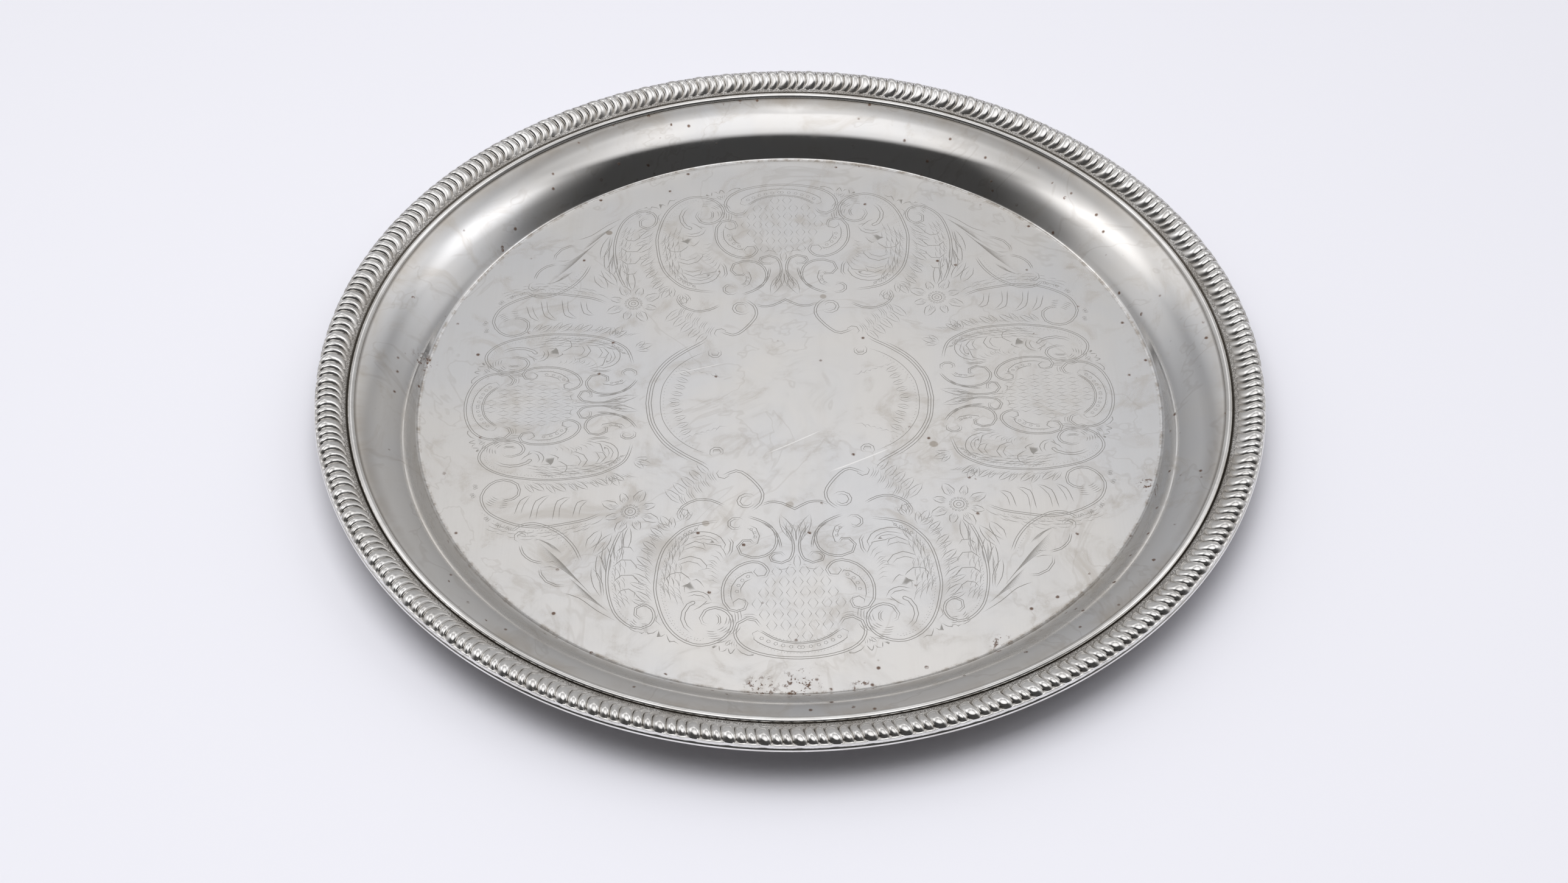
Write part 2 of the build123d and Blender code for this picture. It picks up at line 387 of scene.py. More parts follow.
def bigScroll(place):
    curve(place, bigStem, taper=(0.06, 0.06), double=0.8)
    left = bigStem[2:15]
    dashes(place, left, 0.8, 1.15, 25, "fine", 2.2)
    dashes(place, left, 0.5, 1.6, 60, "fine", 2.9)
    beadRow(place, [(31.5, 56.6), (34.4, 58.2), (37.2, 60.8)], 0.55, 2.0)
    # hook in the eye, and the hook round the spiral
    curve(place, [(25.6, 91.6), (24.5, 93.2), (24.4, 95.4), (25.4, 96.8)], double=-0.65)
    curve(place, [(32.6, 86.6), (34.8, 87.7), (36.4, 90.7), (36.8, 93.8), (35.8, 96.9), (33.6, 99.6)],
          taper=(0.03, 0.3), double=1.2)
    arc(place, (32.9, 87.2), 0.6, 120, 300, "line", 0, (0, 0), 0.4)
    for k in range(6):
        for part, (a, b) in enumerate(((68, 108), (116, 150), (160, 196))):
            arc(place, (27.4, 94.2), 4.6 + 0.95 * k, a + 5 * k - 6 * part, b + 3 * k, "hatch", 0.35)
    # tongue over the spiral
    curves(place, [
        [(34.9, 84.9), (32.6, 84), (30, 84.6), (28.4, 86.2)],
        [(28.4, 86.2), (29, 87.2), (30.9, 89.1), (33.4, 90.6)],
        [(35.2, 83.5), (31.5, 82.6), (28.3, 84.2), (26.9, 87.2)],
        [(26.9, 87.2), (28.6, 87.7), (30.4, 88.5)],
    ])
    # acanthus leaves inside the stem
    curves(place, [
        [(36, 60.3), (32, 58), (27.1, 58.4), (23.9, 60.6), (22.5, 63.5), (23.3, 66.6)],
        [(23.3, 66.6), (24, 64), (28.3, 63.1), (30.4, 61.9)],
    ])
    curves(place, [
        [(34.4, 60.9), (29.2, 59.6), (25.6, 61.4), (24.2, 63.4)],
        [(33, 61.6), (29.6, 60.9), (27, 61.4), (26, 62.6), (28, 62.7)],
    ], "hatch")
    curve(place, [(36.6, 64.6), (32, 61.9), (29.5, 62.9), (28.5, 66.1)])
    curve(place, [(36.4, 65.8), (32.4, 64.1), (29.6, 65), (28.5, 66.1)], "hatch")
    curve(place, [(38.6, 70.3), (33.6, 68.1), (30.4, 69.4), (28.5, 72.2), (28.9, 74.2)])
    curve(place, [(38, 71.9), (34.2, 70.2), (31.4, 71.2), (29.6, 73.4)], "hatch")
    curves(place, [
        [(41.7, 78.6), (40, 75.4), (36.4, 74.9), (34.4, 76.8), (33.4, 78.4)],
        [(33.4, 78.4), (31.8, 77.7), (30.6, 78.9), (29.1, 81.5)],
    ])
    curve(place, [(35.4, 84), (35.6, 81), (34.6, 79.6), (36.8, 80.6)], "hatch")
    feather(place, bigStem, 17, 0.42, 0.13, 3.3, 8.5, 180 - 12, 46)
    feather(place, bigStem, 15, 0.44, 0.17, 4.6, 9.0, 180 - 16, 58)
    feather(place, bigStem, 11, 0.46, 0.22, 6.2, 9.0, 180 - 20, 64, "fine")
    feather(place, bigStem, 8, 0.47, 0.30, 8.0, 8.0, 180 - 20, 70, "fine")
    # leaves outside the stem, over the small scroll
    for k, (at, size) in enumerate(((56.4, 5.2), (62.2, 5.6), (69, 6.4), (76.4, 7.0), (83.4, 6.6))):
        x = 41.2 + (0.9, 3.2, 4.6, 5.2, 4.9)[k] * 0.9
        leaf(place, (x, at + 3.6), (x + size * 0.86, at - size * 0.55 + 2.0), 0.16)
        leaf(place, (x + 0.3, at + 5.4), (x + size * 1.02, at + 1.8), 0.12, "hatch")
        for j in range(3):
            curve(place, [(x - 0.2, at + 1.6 - 1.1 * j), (x + 1.6, at - 0.2 - 1.3 * j),
                          (x + 2.6, at - 2.8 - 1.3 * j)], "fine", (0.2, 0.5))


def rimLeaves(place):
    # short leaves that stand out round the edge of the pattern
    curve(place, [(27.4, 104.7), (26.9, 105.4), (25.1, 104.3)], "line", (0.1, 0.05))
    curve(place, [(25.1, 104.3), (24.9, 106.9)], "line", (0.1, 0.05), step=0.8)
    curve(place, [(24.9, 106.9), (23.4, 106.6), (22.4, 105.4)], "line", (0.1, 0.05))
    curve(place, [(22.4, 105.4), (21.6, 107.8), (20, 105.6)], "line", (0.1, 0.05), step=0.8)
    curve(place, [(19.9, 105.4), (18.3, 107.5), (16.3, 108.6), (14.7, 108.6), (14.5, 107.8)], "line",
          (0.1, 0.05))
    for k in range(4):
        curve(place, [(21.3 - 0.55 * k, 101.6 + 0.5 * k), (21.9 - 0.7 * k, 103.6 + 0.35 * k),
                      (21.9 - 0.8 * k, 105.4)], "fine", (0.2, 0.4))
    leaf(place, (20.4, 102.2), (23.4, 104.6), 0.16, "hatch", False)


def smallScroll(place):
    stem = [(55.8, 55.8), (57.8, 61), (59.3, 66.7), (60, 72.3), (60.2, 78.4), (59.4, 84.7), (57.8, 90.3),
            (55.4, 94), (52.2, 96.7), (48.9, 97.4), (46.1, 96), (44.6, 92.8), (45.4, 89.1), (48.5, 87.1),
            (51, 88.7), (51.2, 91.6), (49.6, 93.3), (47.4, 93)]
    curve(place, stem, taper=(0.05, 0.06), double=0.75)
    dashes(place, stem[2:9], 0.8, 1.1, 25, "fine", 2.0)
    for k in range(5):
        for start, end in ((20 + 6 * k, 62 + 4 * k), (74 + 4 * k, 112 - 2 * k)):
            arc(place, (48.2, 91.6), 3.6 + 0.8 * k, start, end, "hatch", 0.3)
    feather(place, stem, 12, 0.50, 0.12, 2.9, 6.4, 180 - 14, 50)
    feather(place, stem, 10, 0.50, 0.16, 4.3, 6.8, 180 - 18, 60)
    feather(place, stem, 7, 0.50, 0.24, 5.8, 6.0, 180 - 20, 70, "fine")
    curves(place, [
        [(57.4, 66.2), (55, 63.6), (52.6, 63.8), (51.2, 66.2)],
        [(58.2, 72.2), (55.4, 69), (52.4, 69.2), (50.6, 71.8), (50.9, 73.6)],
        [(58.2, 78.6), (55.3, 75.4), (52, 75.4), (49.8, 78.2), (50, 80.2)],
        [(57.2, 84.6), (55.4, 81.6), (53, 81), (51, 82.6), (51.4, 85.6)],
    ])
    # leaves between the small scroll and the rim of the pattern
    curves(place, [
        [(50.2, 98), (48.7, 99.1), (47.3, 97.7)],
        [(47.3, 97.7), (46.8, 99.3), (45.2, 98.9), (43.4, 97.5)],
        [(43.4, 97.4), (44, 100.5), (42.6, 100.3), (41.3, 99.3)],
        [(41.2, 99.2), (40.2, 102.6), (38.8, 102.4), (37.2, 103.7)],
    ], "line", (0.1, 0.05))
    curve(place, [(43.5, 90.6), (44.4, 94.2), (42.4, 96.6)], "hatch")


def flower(place):
    x, d = engraving["flowerAt"]
    ring(place, (x, d), 0.75, "hatch", 8)
    ring(place, (x, d), 1.75, "line", 11)
    for k in range(16):
        a = 2 * math.pi * k / 16
        ring(place, (x + 2.75 * math.cos(a), d + 2.75 * math.sin(a)), 0.36, "fine", 5)
    n = engraving["petals"]
    for k in range(n):
        a = 2 * math.pi * (k + 0.5) / n
        reach = engraving["petalLength"] * (1.0 if k % 2 else 0.84)
        start, end = 3.6, reach
        base = (x + start * math.cos(a), d + start * math.sin(a))
        tip = (x + end * math.cos(a + 0.06), d + end * math.sin(a + 0.06))
        leaf(place, base, tip, 0.26)
        for s in (-0.34, 0.0, 0.34):
            b = a + s * 0.5
            c = a + s * 0.32
            curve(place, [(x + 3.9 * math.cos(b), d + 3.9 * math.sin(b)),
                          (x + 5.4 * math.cos(c), d + 5.4 * math.sin(c)),
                          (x + (end - 1.9) * math.cos(a), d + (end - 1.9) * math.sin(a))], "fine",
                  (0.2, 0.6))


def plume(place):
    # long serrated leaf that runs along the edge of the pattern at the corner
    curve(place, [(26.6, 106.4), (18.9, 107.6), (11.2, 107.9), (5.9, 110)], taper=(0.3, 0.03))
    curve(place, [(5.9, 110), (4.7, 106.8)], taper=(0.05, 0.05))
    curve(place, [(4.7, 106.8), (2.2, 109), (-1.1, 109.9), (-4.4, 109.2), (-6.7, 107.5)],
          taper=(0.05, 0.03), double=-0.7)
    curve(place, [(-6.7, 107.5), (-4.6, 105.2), (-1.8, 103.6)], taper=(0.05, 0.2))
    curve(place, [(-7.4, 105.4), (-10.8, 107.2), (-14.9, 107.1), (-18.2, 105.2)], taper=(0.05, 0.1),
          double=-0.7)
    curve(place, [(-7.4, 105.4), (-5.8, 103.4), (-3.4, 102.2)], taper=(0.05, 0.3))
    arc(place, (-20.5, 102.7), 2.8, 60, 330, "line", -0.9)
    arc(place, (-20.5, 102.7), 1.7, 80, 360, "line", -0.6)
    curve(place, [(-23.8, 104.4), (-24, 100.6), (-21.8, 96.9), (-17.4, 94.8), (-11.8, 93.9), (-5.2, 94.9),
                  (0.6, 97.4)], taper=(0.1, 0.1), double=-0.8)
    dashes(place, [(-20.4, 97.8), (-17, 96.2), (-11.8, 95.3), (-5.4, 96.3), (-0.4, 98.2)], 0.6, 1.0, 90,
           "fine")
    for k in range(9):
        t = k / 8
        curve(place, [(14.5 - 7.5 * t, 104.6 - 0.9 * t), (6.0 - 8.2 * t, 103.4 - 1.6 * t),
                      (-3.5 - 8.0 * t, 103.6 - 2.6 * t),
                      (-9.2 - 6.2 * t, 104.9 - 4.2 * t)], "hatch", (0.25, 0.35))
    for k in range(8):
        t = k / 7
        curve(place, [(22.5 - 8 * t, 105.4 - 0.4 * t), (15.5 - 8 * t, 105.8 - 1.2 * t),
                      (9.4 - 7 * t, 107.0 - 2.6 * t)], "hatch", (0.3, 0.4))
    for k in range(6):
        t = k / 5
        curve(place, [(-5.2 - 3.4 * t, 99.2 + 0.5 * t), (-10.2 - 2.6 * t, 98.6 + 0.8 * t),
                      (-16.4 - 1.6 * t, 99.8 + 1.0 * t)], "fine", (0.25, 0.4))
    # upper side of the plume: pointed leaves towards the small scroll's stem
    for k, (bx, bd, tx, td) in enumerate(((16.5, 102.8, 4.8, 96.4), (13.2, 99.4, 2.4, 91.2), (10.6, 95.0,
            0.8, 86.6), (9.4, 90.0, 1.8, 81.0), (8.0, 84.6, 1.2, 76.2))):
        leaf(place, (bx, bd), (tx, td), 0.11, "line", False)
        for j in range(4):
            t = (j + 0.6) / 4
            curve(place, [(bx - 0.6 - 1.1 * j, bd - 0.7 * j), (bx - 3.2 - 1.0 * j, bd - 2.4 - 0.8 * j),
                          (bx - 5.6 - 0.8 * j, bd - 4.8 - 0.7 * j)], "fine", (0.2, 0.5))
    leaf(place, (-1.6, 92.4), (-4.2, 83.4), 0.2)
    leaf(place, (2.0, 93.0), (-0.6, 82.0), 0.14)


def sideSmallScroll(place):
    stem = [(-9.5, 78.2), (-11.1, 83.5), (-14.9, 89.7), (-18.8, 95.1), (-24.2, 99.6), (-31.1, 102.3),
            (-37.2, 102.7), (-42.5, 99.8), (-44.2, 94.6), (-42.6, 90.5), (-38.2, 88.9), (-34.8, 91.6),
            (-35.6, 95.4), (-38.4, 96.2)]
    curve(place, stem, taper=(0.06, 0.06), double=-0.75)
    dashes(place, stem[1:7], 0.8, 1.1, -25, "fine", -2.0)
    for k in range(5):
        for start, end in ((60 + 2 * k, 104 - 2 * k), (14 + 4 * k, 50 + 2 * k)):
            arc(place, (-39.4, 93.6), 3.9 + 0.85 * k, start, end, "hatch", 0.2)
    feather(place, stem, 12, 0.50, 0.08, -2.9, 6.6, 180 + 14, -50)
    feather(place, stem, 10, 0.50, 0.12, -4.3, 6.8, 180 + 18, -60)
    feather(place, stem, 7, 0.50, 0.22, -5.8, 6.0, 180 + 20, -70, "fine")
    for a, b, c in (((-14.6, 86.4), (-18.2, 80.6), (-16.4, 77.4)),
                    ((-18.4, 91.6), (-23.4, 84.6), (-21.4, 80.4)), ((-23.8, 96.6), (-28.4, 89.4),
                            (-27, 84.4)), ((-29, 98.4), (-32.2, 92.6), (-31.4, 88.6))):
        curve(place, [a, b, c])
        curve(place, [c, (b[0] + 2.2, b[1] + 0.6), (a[0] + 1.4, a[1] - 1.6)], "hatch")
    for k, (x, d) in enumerate(((-26.5, 103.2), (-29.6, 104.6), (-34, 105.2), (-44.6, 101.6),
                                (-46.6, 98.6))):
        tuft(place, (x, d - 0.8), 70 + 14 * k, 2.5, (-24, 24), 0.22)


def innerFrame():
    # four bracket arcs round the plain middle, with a volute at each end
    curve(side, [(-1.5, 46.45), (0, 46.4), (9.3, 45.2), (17.7, 41), (23.5, 35.2), (27.7, 29.3),
                 (29.4, 27.3)], taper=(0, 0.1), double=0.9)
    curve(side, [(-1.5, 48.3), (0, 48.2), (9.6, 46.9), (18.6, 42.6), (24.8, 36.6), (27.4, 32.6)],
          taper=(0, 0.2))
    curve(side, [(-1.5, 43.5), (0, 43.4), (7.9, 42.5), (15.6, 38.6), (20.9, 33.2), (24.2, 27.4)], "hatch",
          taper=(0, 0.2))
    dashes(side, [(0, 42.4), (7.6, 41.5), (14.8, 37.8), (20, 32.6)], 0.7, 1.3, 90, "fine")
    arc(side, (23.2, 24.6), 2.7, 30, 330, "line", -0.8)
    arc(side, (23.2, 24.6), 1.7, 60, 350, "line", -0.6)
    for k in range(5):
        leaf(side, (1.4 + 3.4 * k, 41.0 - 0.9 * k), (0.4 + 3.0 * k, 36.4 - 0.9 * k), 0.2, "hatch")
    for k in range(6):
        curve(side, [(17.5 - 0.6 * k, 36.5 - 2.2 * k), (15.5 - 0.8 * k, 33.6 - 2.0 * k),
                     (16.2 - 0.9 * k, 30.4 - 1.9 * k)], "fine", (0.2, 0.5))
    curve(front, [(23.0, 34.6), (18.6, 32.2), (15.4, 34.2), (12.2, 38.4), (10.6, 42.1), (11.4, 46.1),
                  (14.4, 49)], double=0.85)
    arc(front, (15.4, 45.3), 3.6, -150, 170, "line", -1.0)
    arc(front, (15.4, 45.3), 2.5, -140, 190, "line", -0.8)
    arc(front, (22.6, 33.0), 2.5, -60, 200, "line", -0.7)
    curve(front, [(11.2, 47.6), (8.2, 46.2), (4.4, 46.6), (0, 49.4), (-1, 49.2)], taper=(0.1, 0),
          double=0.7)
    for k in range(5):
        leaf(front, (27 + 2.3 * k, 33.5 + 3.0 * k), (31.5 + 2.6 * k, 27.8 + 2.8 * k), 0.17, "hatch")
        for j in range(3):
            curve(front, [(24.5 + 2.3 * k + 0.8 * j, 36.5 + 2.6 * k), (26.2 + 2.3 * k + 0.8 * j,
                    33.4 + 2.6 * k), (26.0 + 2.4 * k + 0.9 * j, 30.6 + 2.5 * k)], "fine", (0.2, 0.5))
    curve(front, [(22.4, 46.8), (26.6, 44.2), (31.6, 43.8), (36.4, 46.8), (38.4, 51.4)], double=0.7)
    curve(front, [(33, 52.6), (34.6, 48.6), (38.6, 47.6)], "hatch")
    tuft(front, (39.4, 57), -60, 7.5, (-30, 0, 30), 0.18)
    tuft(front, (36, 53.5), -100, 6.5, (-26, 0, 26), 0.18)
    tuft(side, (26, 52), -70, 6.5, (-30, 0, 30), 0.18)
    tuft(side, (31.5, 60), -30, 7, (-26, 0, 26), 0.18)


def quarterFloor(radius, rimPoints):
    # the front right quarter of the floor as triangles with the strokes cut in
    points, edges, samples = [], [], []

    def chain(line):
        start = len(points)
        points.extend(line)
        edges.extend((start + i, start + i + 1) for i in range(len(line) - 1))

    for line, widths in strokes:
        chain(line)
        for way in (1, -1):
            edge = []
            for i, p in enumerate(line):
                along = line[min(i + 1, len(line) - 1)] - line[max(i - 1, 0)]
                along = along.normalized() if along.length > 1e-9 else Vector((1, 0))
                edge.append(p + Vector((-along.y, along.x)) * widths[i] * way)
            chain(edge)
        for (a, b), (wa, wb) in zip(zip(line, line[1:]), zip(widths, widths[1:])):
            n = max(1, math.ceil((b - a).length / 0.12))
            samples.extend((a.lerp(b, i / n), wa + (wb - wa) * i / n) for i in range(n + 1))
    outline = len(points)
    points.append(Vector((0, 0)))
    for i in range(rimPoints + 1):
        a = math.pi / 2 * i / rimPoints
        points.append(Vector((radius * math.sin(a), -radius * math.cos(a))))
    n = len(points)
    edges.extend((i, i + 1) for i in range(outline, n - 1))
    edges.append((n - 1, outline))
    verts, _, faces, _, _, _ = delaunay_2d_cdt(points, edges, [], 0, 1e-4, False)

    tree = kdtree.KDTree(len(samples))
    for i, (p, _) in enumerate(samples):
        tree.insert((p.x, p.y, 0), i)
    tree.balance()
    widest = engraving["line"] / 2
    solid = []
    for v in verts:
        x, y = (0.0 if abs(v.x) < 2e-4 else v.x), (0.0 if abs(v.y) < 2e-4 else v.y)
        deep = 0.0
        for _, i, distance in tree.find_range((v.x, v.y, 0), widest):
            w = samples[i][1]
            if distance < w:
                deep = max(deep, (1 - distance / w) * w / widest)
        solid.append((x, y, profile["sheet"] - engraving["depth"] * deep))
    kept = []
    for f in faces:
        cx = sum(solid[i][0] for i in f) / len(f)
        cy = sum(solid[i][1] for i in f) / len(f)
        if cx > 1e-6 and cy < -1e-6 and math.hypot(cx, cy) < radius:
            kept.append(tuple(f))
    return solid, kept


def drawPattern():
    for place in (front, sideSqueezed):
        cartouche(place)
        upperVolutes(place)
        bigScroll(place)
        rimLeaves(place)
    smallScroll(front)
    sideSmallScroll(corner)
    plume(corner)
    flower(corner)
    innerFrame()


# camera and light
view = {
    "lens": 57.49, "distance": 838.2, "elevation": 45.51,
    "aim": (-1.9, -19.2), "patternTurn": 1.95,
}
light = {
    "box": 9.0, "boxSize": 1.0, "boxAt": (-0.1, -0.05, 1.3),
    # brightness of the studio by height over the horizon, behind the plate and on the camera's side
    "behind": [(0, 0.38), (12, 0.45), (24, 0.49), (37, 0.585), (45, 0.95), (52, 1.3), (58, 0.92),
               (64, 0.62), (71, 0.78), (80, 1.2), (90, 1.3)],
    "near": [(0, 0.12), (20, 0.06), (56, 0.06), (62, 1.0), (70, 1.2), (90, 1.3)],
    "nearWidth": (56, 112),      # the dim side ends between these turns from the camera
    # a window at each side: the turns and heights between which it fades in and out, and its level
    "windowFrom": (76.0, 94.0), "windowTo": (140.0, 112.0), "windowFoot": (4.0, 16.0),
    "windowHead": (60.0, 44.0),
    "window": 0.55,
    # the back is dimmer beside the middle: turns and heights between which that fades in, and by how much
    "dimFrom": (178.0, 166.0), "dimTo": (118.0, 142.0), "dimFoot": (24.0, 36.0), "dim": -0.24,
}


def makeCamera():
    floorZ = profile["sheet"] * mm
    e = math.radians(view["elevation"])
    reach = view["distance"] * mm
    eye = Vector((0.0, -reach * math.cos(e), reach * math.sin(e) + floorZ))
    aim = Vector((view["aim"][0] * mm, view["aim"][1] * mm, floorZ))
    data = bpy.data.cameras.new("camera")
    data.lens = view["lens"]
    data.sensor_width = 36.0
    data.clip_start = 0.01
    data.clip_end = 50.0
    camera = bpy.data.objects.new("camera", data)
    camera.location = eye
    camera.rotation_euler = (aim - eye).to_track_quat("-Z", "Y").to_euler()
    scene.collection.objects.link(camera)
    scene.camera = camera


def areaLight(name, at, towards, size, power):
    data = bpy.data.lights.new(name, "AREA")
    data.shape = "SQUARE"
    data.size = size
    data.energy = power
    lamp = bpy.data.objects.new(name, data)
    lamp.location = at
    lamp.rotation_euler = (Vector(towards) - Vector(at)).to_track_quat("-Z", "Y").to_euler()
    lamp.visible_glossy = False      # the metal shows the studio, not the lamp
    scene.collection.objects.link(lamp)


def makeWorld():
    # pale studio all round, bright overhead, with a dim side where the camera stands
    world = bpy.data.worlds.new("studio")
    scene.world = world
    world.use_nodes = True
    nodes, links = world.node_tree.nodes, world.node_tree.links
    nodes.clear()

    def turned(kind, a, b=None, scale=1.0):
        node = nodes.new("ShaderNodeMath")
        node.operation = kind
        links.new(a, node.inputs[0])
        if b is not None:
            links.new(b, node.inputs[1])
        share = nodes.new("ShaderNodeMath")
        share.operation = "MULTIPLY"
        share.inputs[1].default_value = scale
        links.new(node.outputs[0], share.inputs[0])
        return share.outputs[0]

    def sky(height, table):
        ramp = nodes.new("ShaderNodeValToRGB")
        elements = ramp.color_ramp.elements
        elements[0].position, elements[-1].position = 0.0, 1.0
        for degrees, _ in table[1:-1]:
            elements.new(degrees / 90)
        for element, (_, level) in zip(elements, table):
            element.color = (level * 0.992, level * 0.986, level, 1)
        links.new(height, ramp.inputs[0])
        return ramp.outputs["Color"]

    def fade(value, low, high):
        node = nodes.new("ShaderNodeMapRange")
        node.interpolation_type = "SMOOTHSTEP"
        node.inputs["From Min"].default_value, node.inputs["From Max"].default_value = low, high
        links.new(value, node.inputs["Value"])
        return node.outputs["Result"]

    split = nodes.new("ShaderNodeSeparateXYZ")
    links.new(nodes.new("ShaderNodeTexCoord").outputs["Generated"], split.inputs[0])
    height = turned("ARCSINE", split.outputs["Z"], None, 2 / math.pi)
    flip = nodes.new("ShaderNodeMath")
    flip.operation = "MULTIPLY"
    flip.inputs[1].default_value = -1.0
    links.new(split.outputs["Y"], flip.inputs[0])
    across = nodes.new("ShaderNodeMath")
    across.operation = "ABSOLUTE"
    links.new(split.outputs["X"], across.inputs[0])
    away = turned("ARCTAN2", across.outputs[0], flip.outputs[0], 180 / math.pi)
    mix = nodes.new("ShaderNodeMix")
    mix.data_type = "RGBA"
    links.new(fade(away, *light["nearWidth"]), mix.inputs["Factor"])
    links.new(sky(height, light["near"]), mix.inputs["A"])
    links.new(sky(height, light["behind"]), mix.inputs["B"])

    def climb(low, high):
        return fade(height, low / 90, high / 90)

    # the studio's own level, a bright window at each side and a dimmer stretch beside the middle
    window = turned("MULTIPLY", fade(away, *light["windowFrom"]), fade(away, *light["windowTo"]))
    rise = turned("MULTIPLY", climb(*light["windowFoot"]), climb(*light["windowHead"]))
    window = turned("MULTIPLY", window, rise, light["window"])
    dim = turned("MULTIPLY", fade(away, *light["dimFrom"]), fade(away, *light["dimTo"]))
    dim = turned("MULTIPLY", dim, climb(*light["dimFoot"]), light["dim"])
    strength = nodes.new("ShaderNodeMath")
    strength.operation = "ADD"
    strength.inputs[1].default_value = 1.0
    links.new(turned("ADD", window, dim), strength.inputs[0])
    background = nodes.new("ShaderNodeBackground")
    links.new(mix.outputs["Result"], background.inputs["Color"])
    links.new(strength.outputs[0], background.inputs["Strength"])
    out = nodes.new("ShaderNodeOutputWorld")
    links.new(background.outputs[0], out.inputs["Surface"])


# small helpers for node materials
class Shade:
    def __init__(self, name):
        self.material = bpy.data.materials.new(name)
        self.material.use_nodes = True
        self.nodes = self.material.node_tree.nodes
        self.links = self.material.node_tree.links
        self.nodes.clear()
        self.shader = self.add("ShaderNodeBsdfPrincipled")
        out = self.add("ShaderNodeOutputMaterial")
        self.links.new(self.shader.outputs[0], out.inputs["Surface"])
        self.place = self.add("ShaderNodeTexCoord").outputs["Object"]
        self.parts = self.add("ShaderNodeSeparateXYZ")
        self.links.new(self.place, self.parts.inputs[0])

    def add(self, kind, **settings):
        node = self.nodes.new(kind)
        for key, value in settings.items():
            setattr(node, key, value)
        return node

    def put(self, socket, value):
        if isinstance(value, bpy.types.NodeSocket):
            self.links.new(value, socket)
        else:
            socket.default_value = value

    def math(self, operation, a, b=0.0):
        node = self.add("ShaderNodeMath", operation=operation)
        self.put(node.inputs[0], a)
        self.put(node.inputs[1], b)
        return node.outputs[0]

    def times(self, a, b):
        return self.math("MULTIPLY", a, b)

    def plus(self, a, b):
        return self.math("ADD", a, b)

    def minus(self, a, b):
        return self.math("SUBTRACT", a, b)

    def window(self, value, low, lowEnd, highEnd, high):
        # 1 between the two inner values, 0 outside the two outer ones
        return self.times(self.ramp(value, low, lowEnd), self.ramp(value, high, highEnd))

    def stretched(self, scale, turn=(0, 0, 0), shift=(0, 0, 0)):
        node = self.add("ShaderNodeMapping")
        self.links.new(self.place, node.inputs["Vector"])
        node.inputs["Location"].default_value = shift
        node.inputs["Rotation"].default_value = turn
        node.inputs["Scale"].default_value = scale
        return node.outputs[0]

    def noise(self, scale, detail=3.0, roughness=0.55, vector=None, distortion=0.0):
        node = self.add("ShaderNodeTexNoise")
        self.links.new(vector or self.place, node.inputs["Vector"])
        node.inputs["Scale"].default_value = scale
        node.inputs["Detail"].default_value = detail
        node.inputs["Roughness"].default_value = roughness
        node.inputs["Distortion"].default_value = distortion
        return node.outputs["Fac"]

    def cells(self, scale):
        node = self.add("ShaderNodeTexVoronoi")
        self.links.new(self.place, node.inputs["Vector"])
        node.inputs["Scale"].default_value = scale
        return node

    def ramp(self, value, low, high, a=0.0, b=1.0):
        node = self.add("ShaderNodeMapRange", interpolation_type="SMOOTHSTEP")
        self.put(node.inputs["Value"], value)
        node.inputs["From Min"].default_value = low
        node.inputs["From Max"].default_value = high
        node.inputs["To Min"].default_value = a
        node.inputs["To Max"].default_value = b
        return node.outputs["Result"]

    def mix(self, amount, a, b):
        node = self.add("ShaderNodeMix", data_type="RGBA")
        self.put(node.inputs["Factor"], amount)
        self.put(node.inputs["A"], a)
        self.put(node.inputs["B"], b)
        return node.outputs["Result"]

    def bump(self, height, strength, distance, under=None):
        node = self.add("ShaderNodeBump")
        node.inputs["Strength"].default_value = strength
        node.inputs["Distance"].default_value = distance
        self.links.new(height, node.inputs["Height"])
        if under is not None:
            self.links.new(under, node.inputs["Normal"])
        return node.outputs[0]

    def spot(self, x, y, size, soft, uneven=None):
        # 1 inside a round patch of that radius, fading out over the soft edge
        across = self.minus(self.parts.outputs["X"], x * mm)
        along = self.minus(self.parts.outputs["Y"], y * mm)
        far = self.math("SQRT", self.plus(self.times(across, across), self.times(along, along)))
        if uneven is not None:
            far = self.plus(far, self.times(uneven, size * 0.9 * mm))
            size = size * 1.45
        return self.ramp(far, (size + soft) * mm, size * mm)

    def scratch(self, start, end, width):
        # 1 on a thin straight line that thins out towards its ends
        turn = math.atan2(end[1] - start[1], end[0] - start[0])
        reach = math.dist(start, end) / 2
        middle = ((start[0] + end[0]) / 2, (start[1] + end[1]) / 2)
        shift = (-middle[0] * math.cos(turn) - middle[1] * math.sin(turn),
                 middle[0] * math.sin(turn) - middle[1] * math.cos(turn))
        turned = self.stretched((1, 1, 1), (0, 0, -turn), (shift[0] * mm, shift[1] * mm, 0))
        apart = self.add("ShaderNodeSeparateXYZ")
        self.links.new(turned, apart.inputs[0])
        bowed = self.times(self.times(apart.outputs["X"], apart.outputs["X"]), 1.6)
        aside = self.math("ABSOLUTE", self.minus(apart.outputs["Y"], bowed))
        along = self.math("ABSOLUTE", apart.outputs["X"])
        return self.times(self.ramp(aside, width * mm, width * 0.3 * mm),
                          self.ramp(along, reach * mm, reach * 0.55 * mm))

    def radius(self):
        across = self.times(self.parts.outputs["X"], self.parts.outputs["X"])
        along = self.times(self.parts.outputs["Y"], self.parts.outputs["Y"])
        return self.math("SQRT", self.plus(across, along))


# pan
pan = {"turns": 384, "rimRound": 0.12}


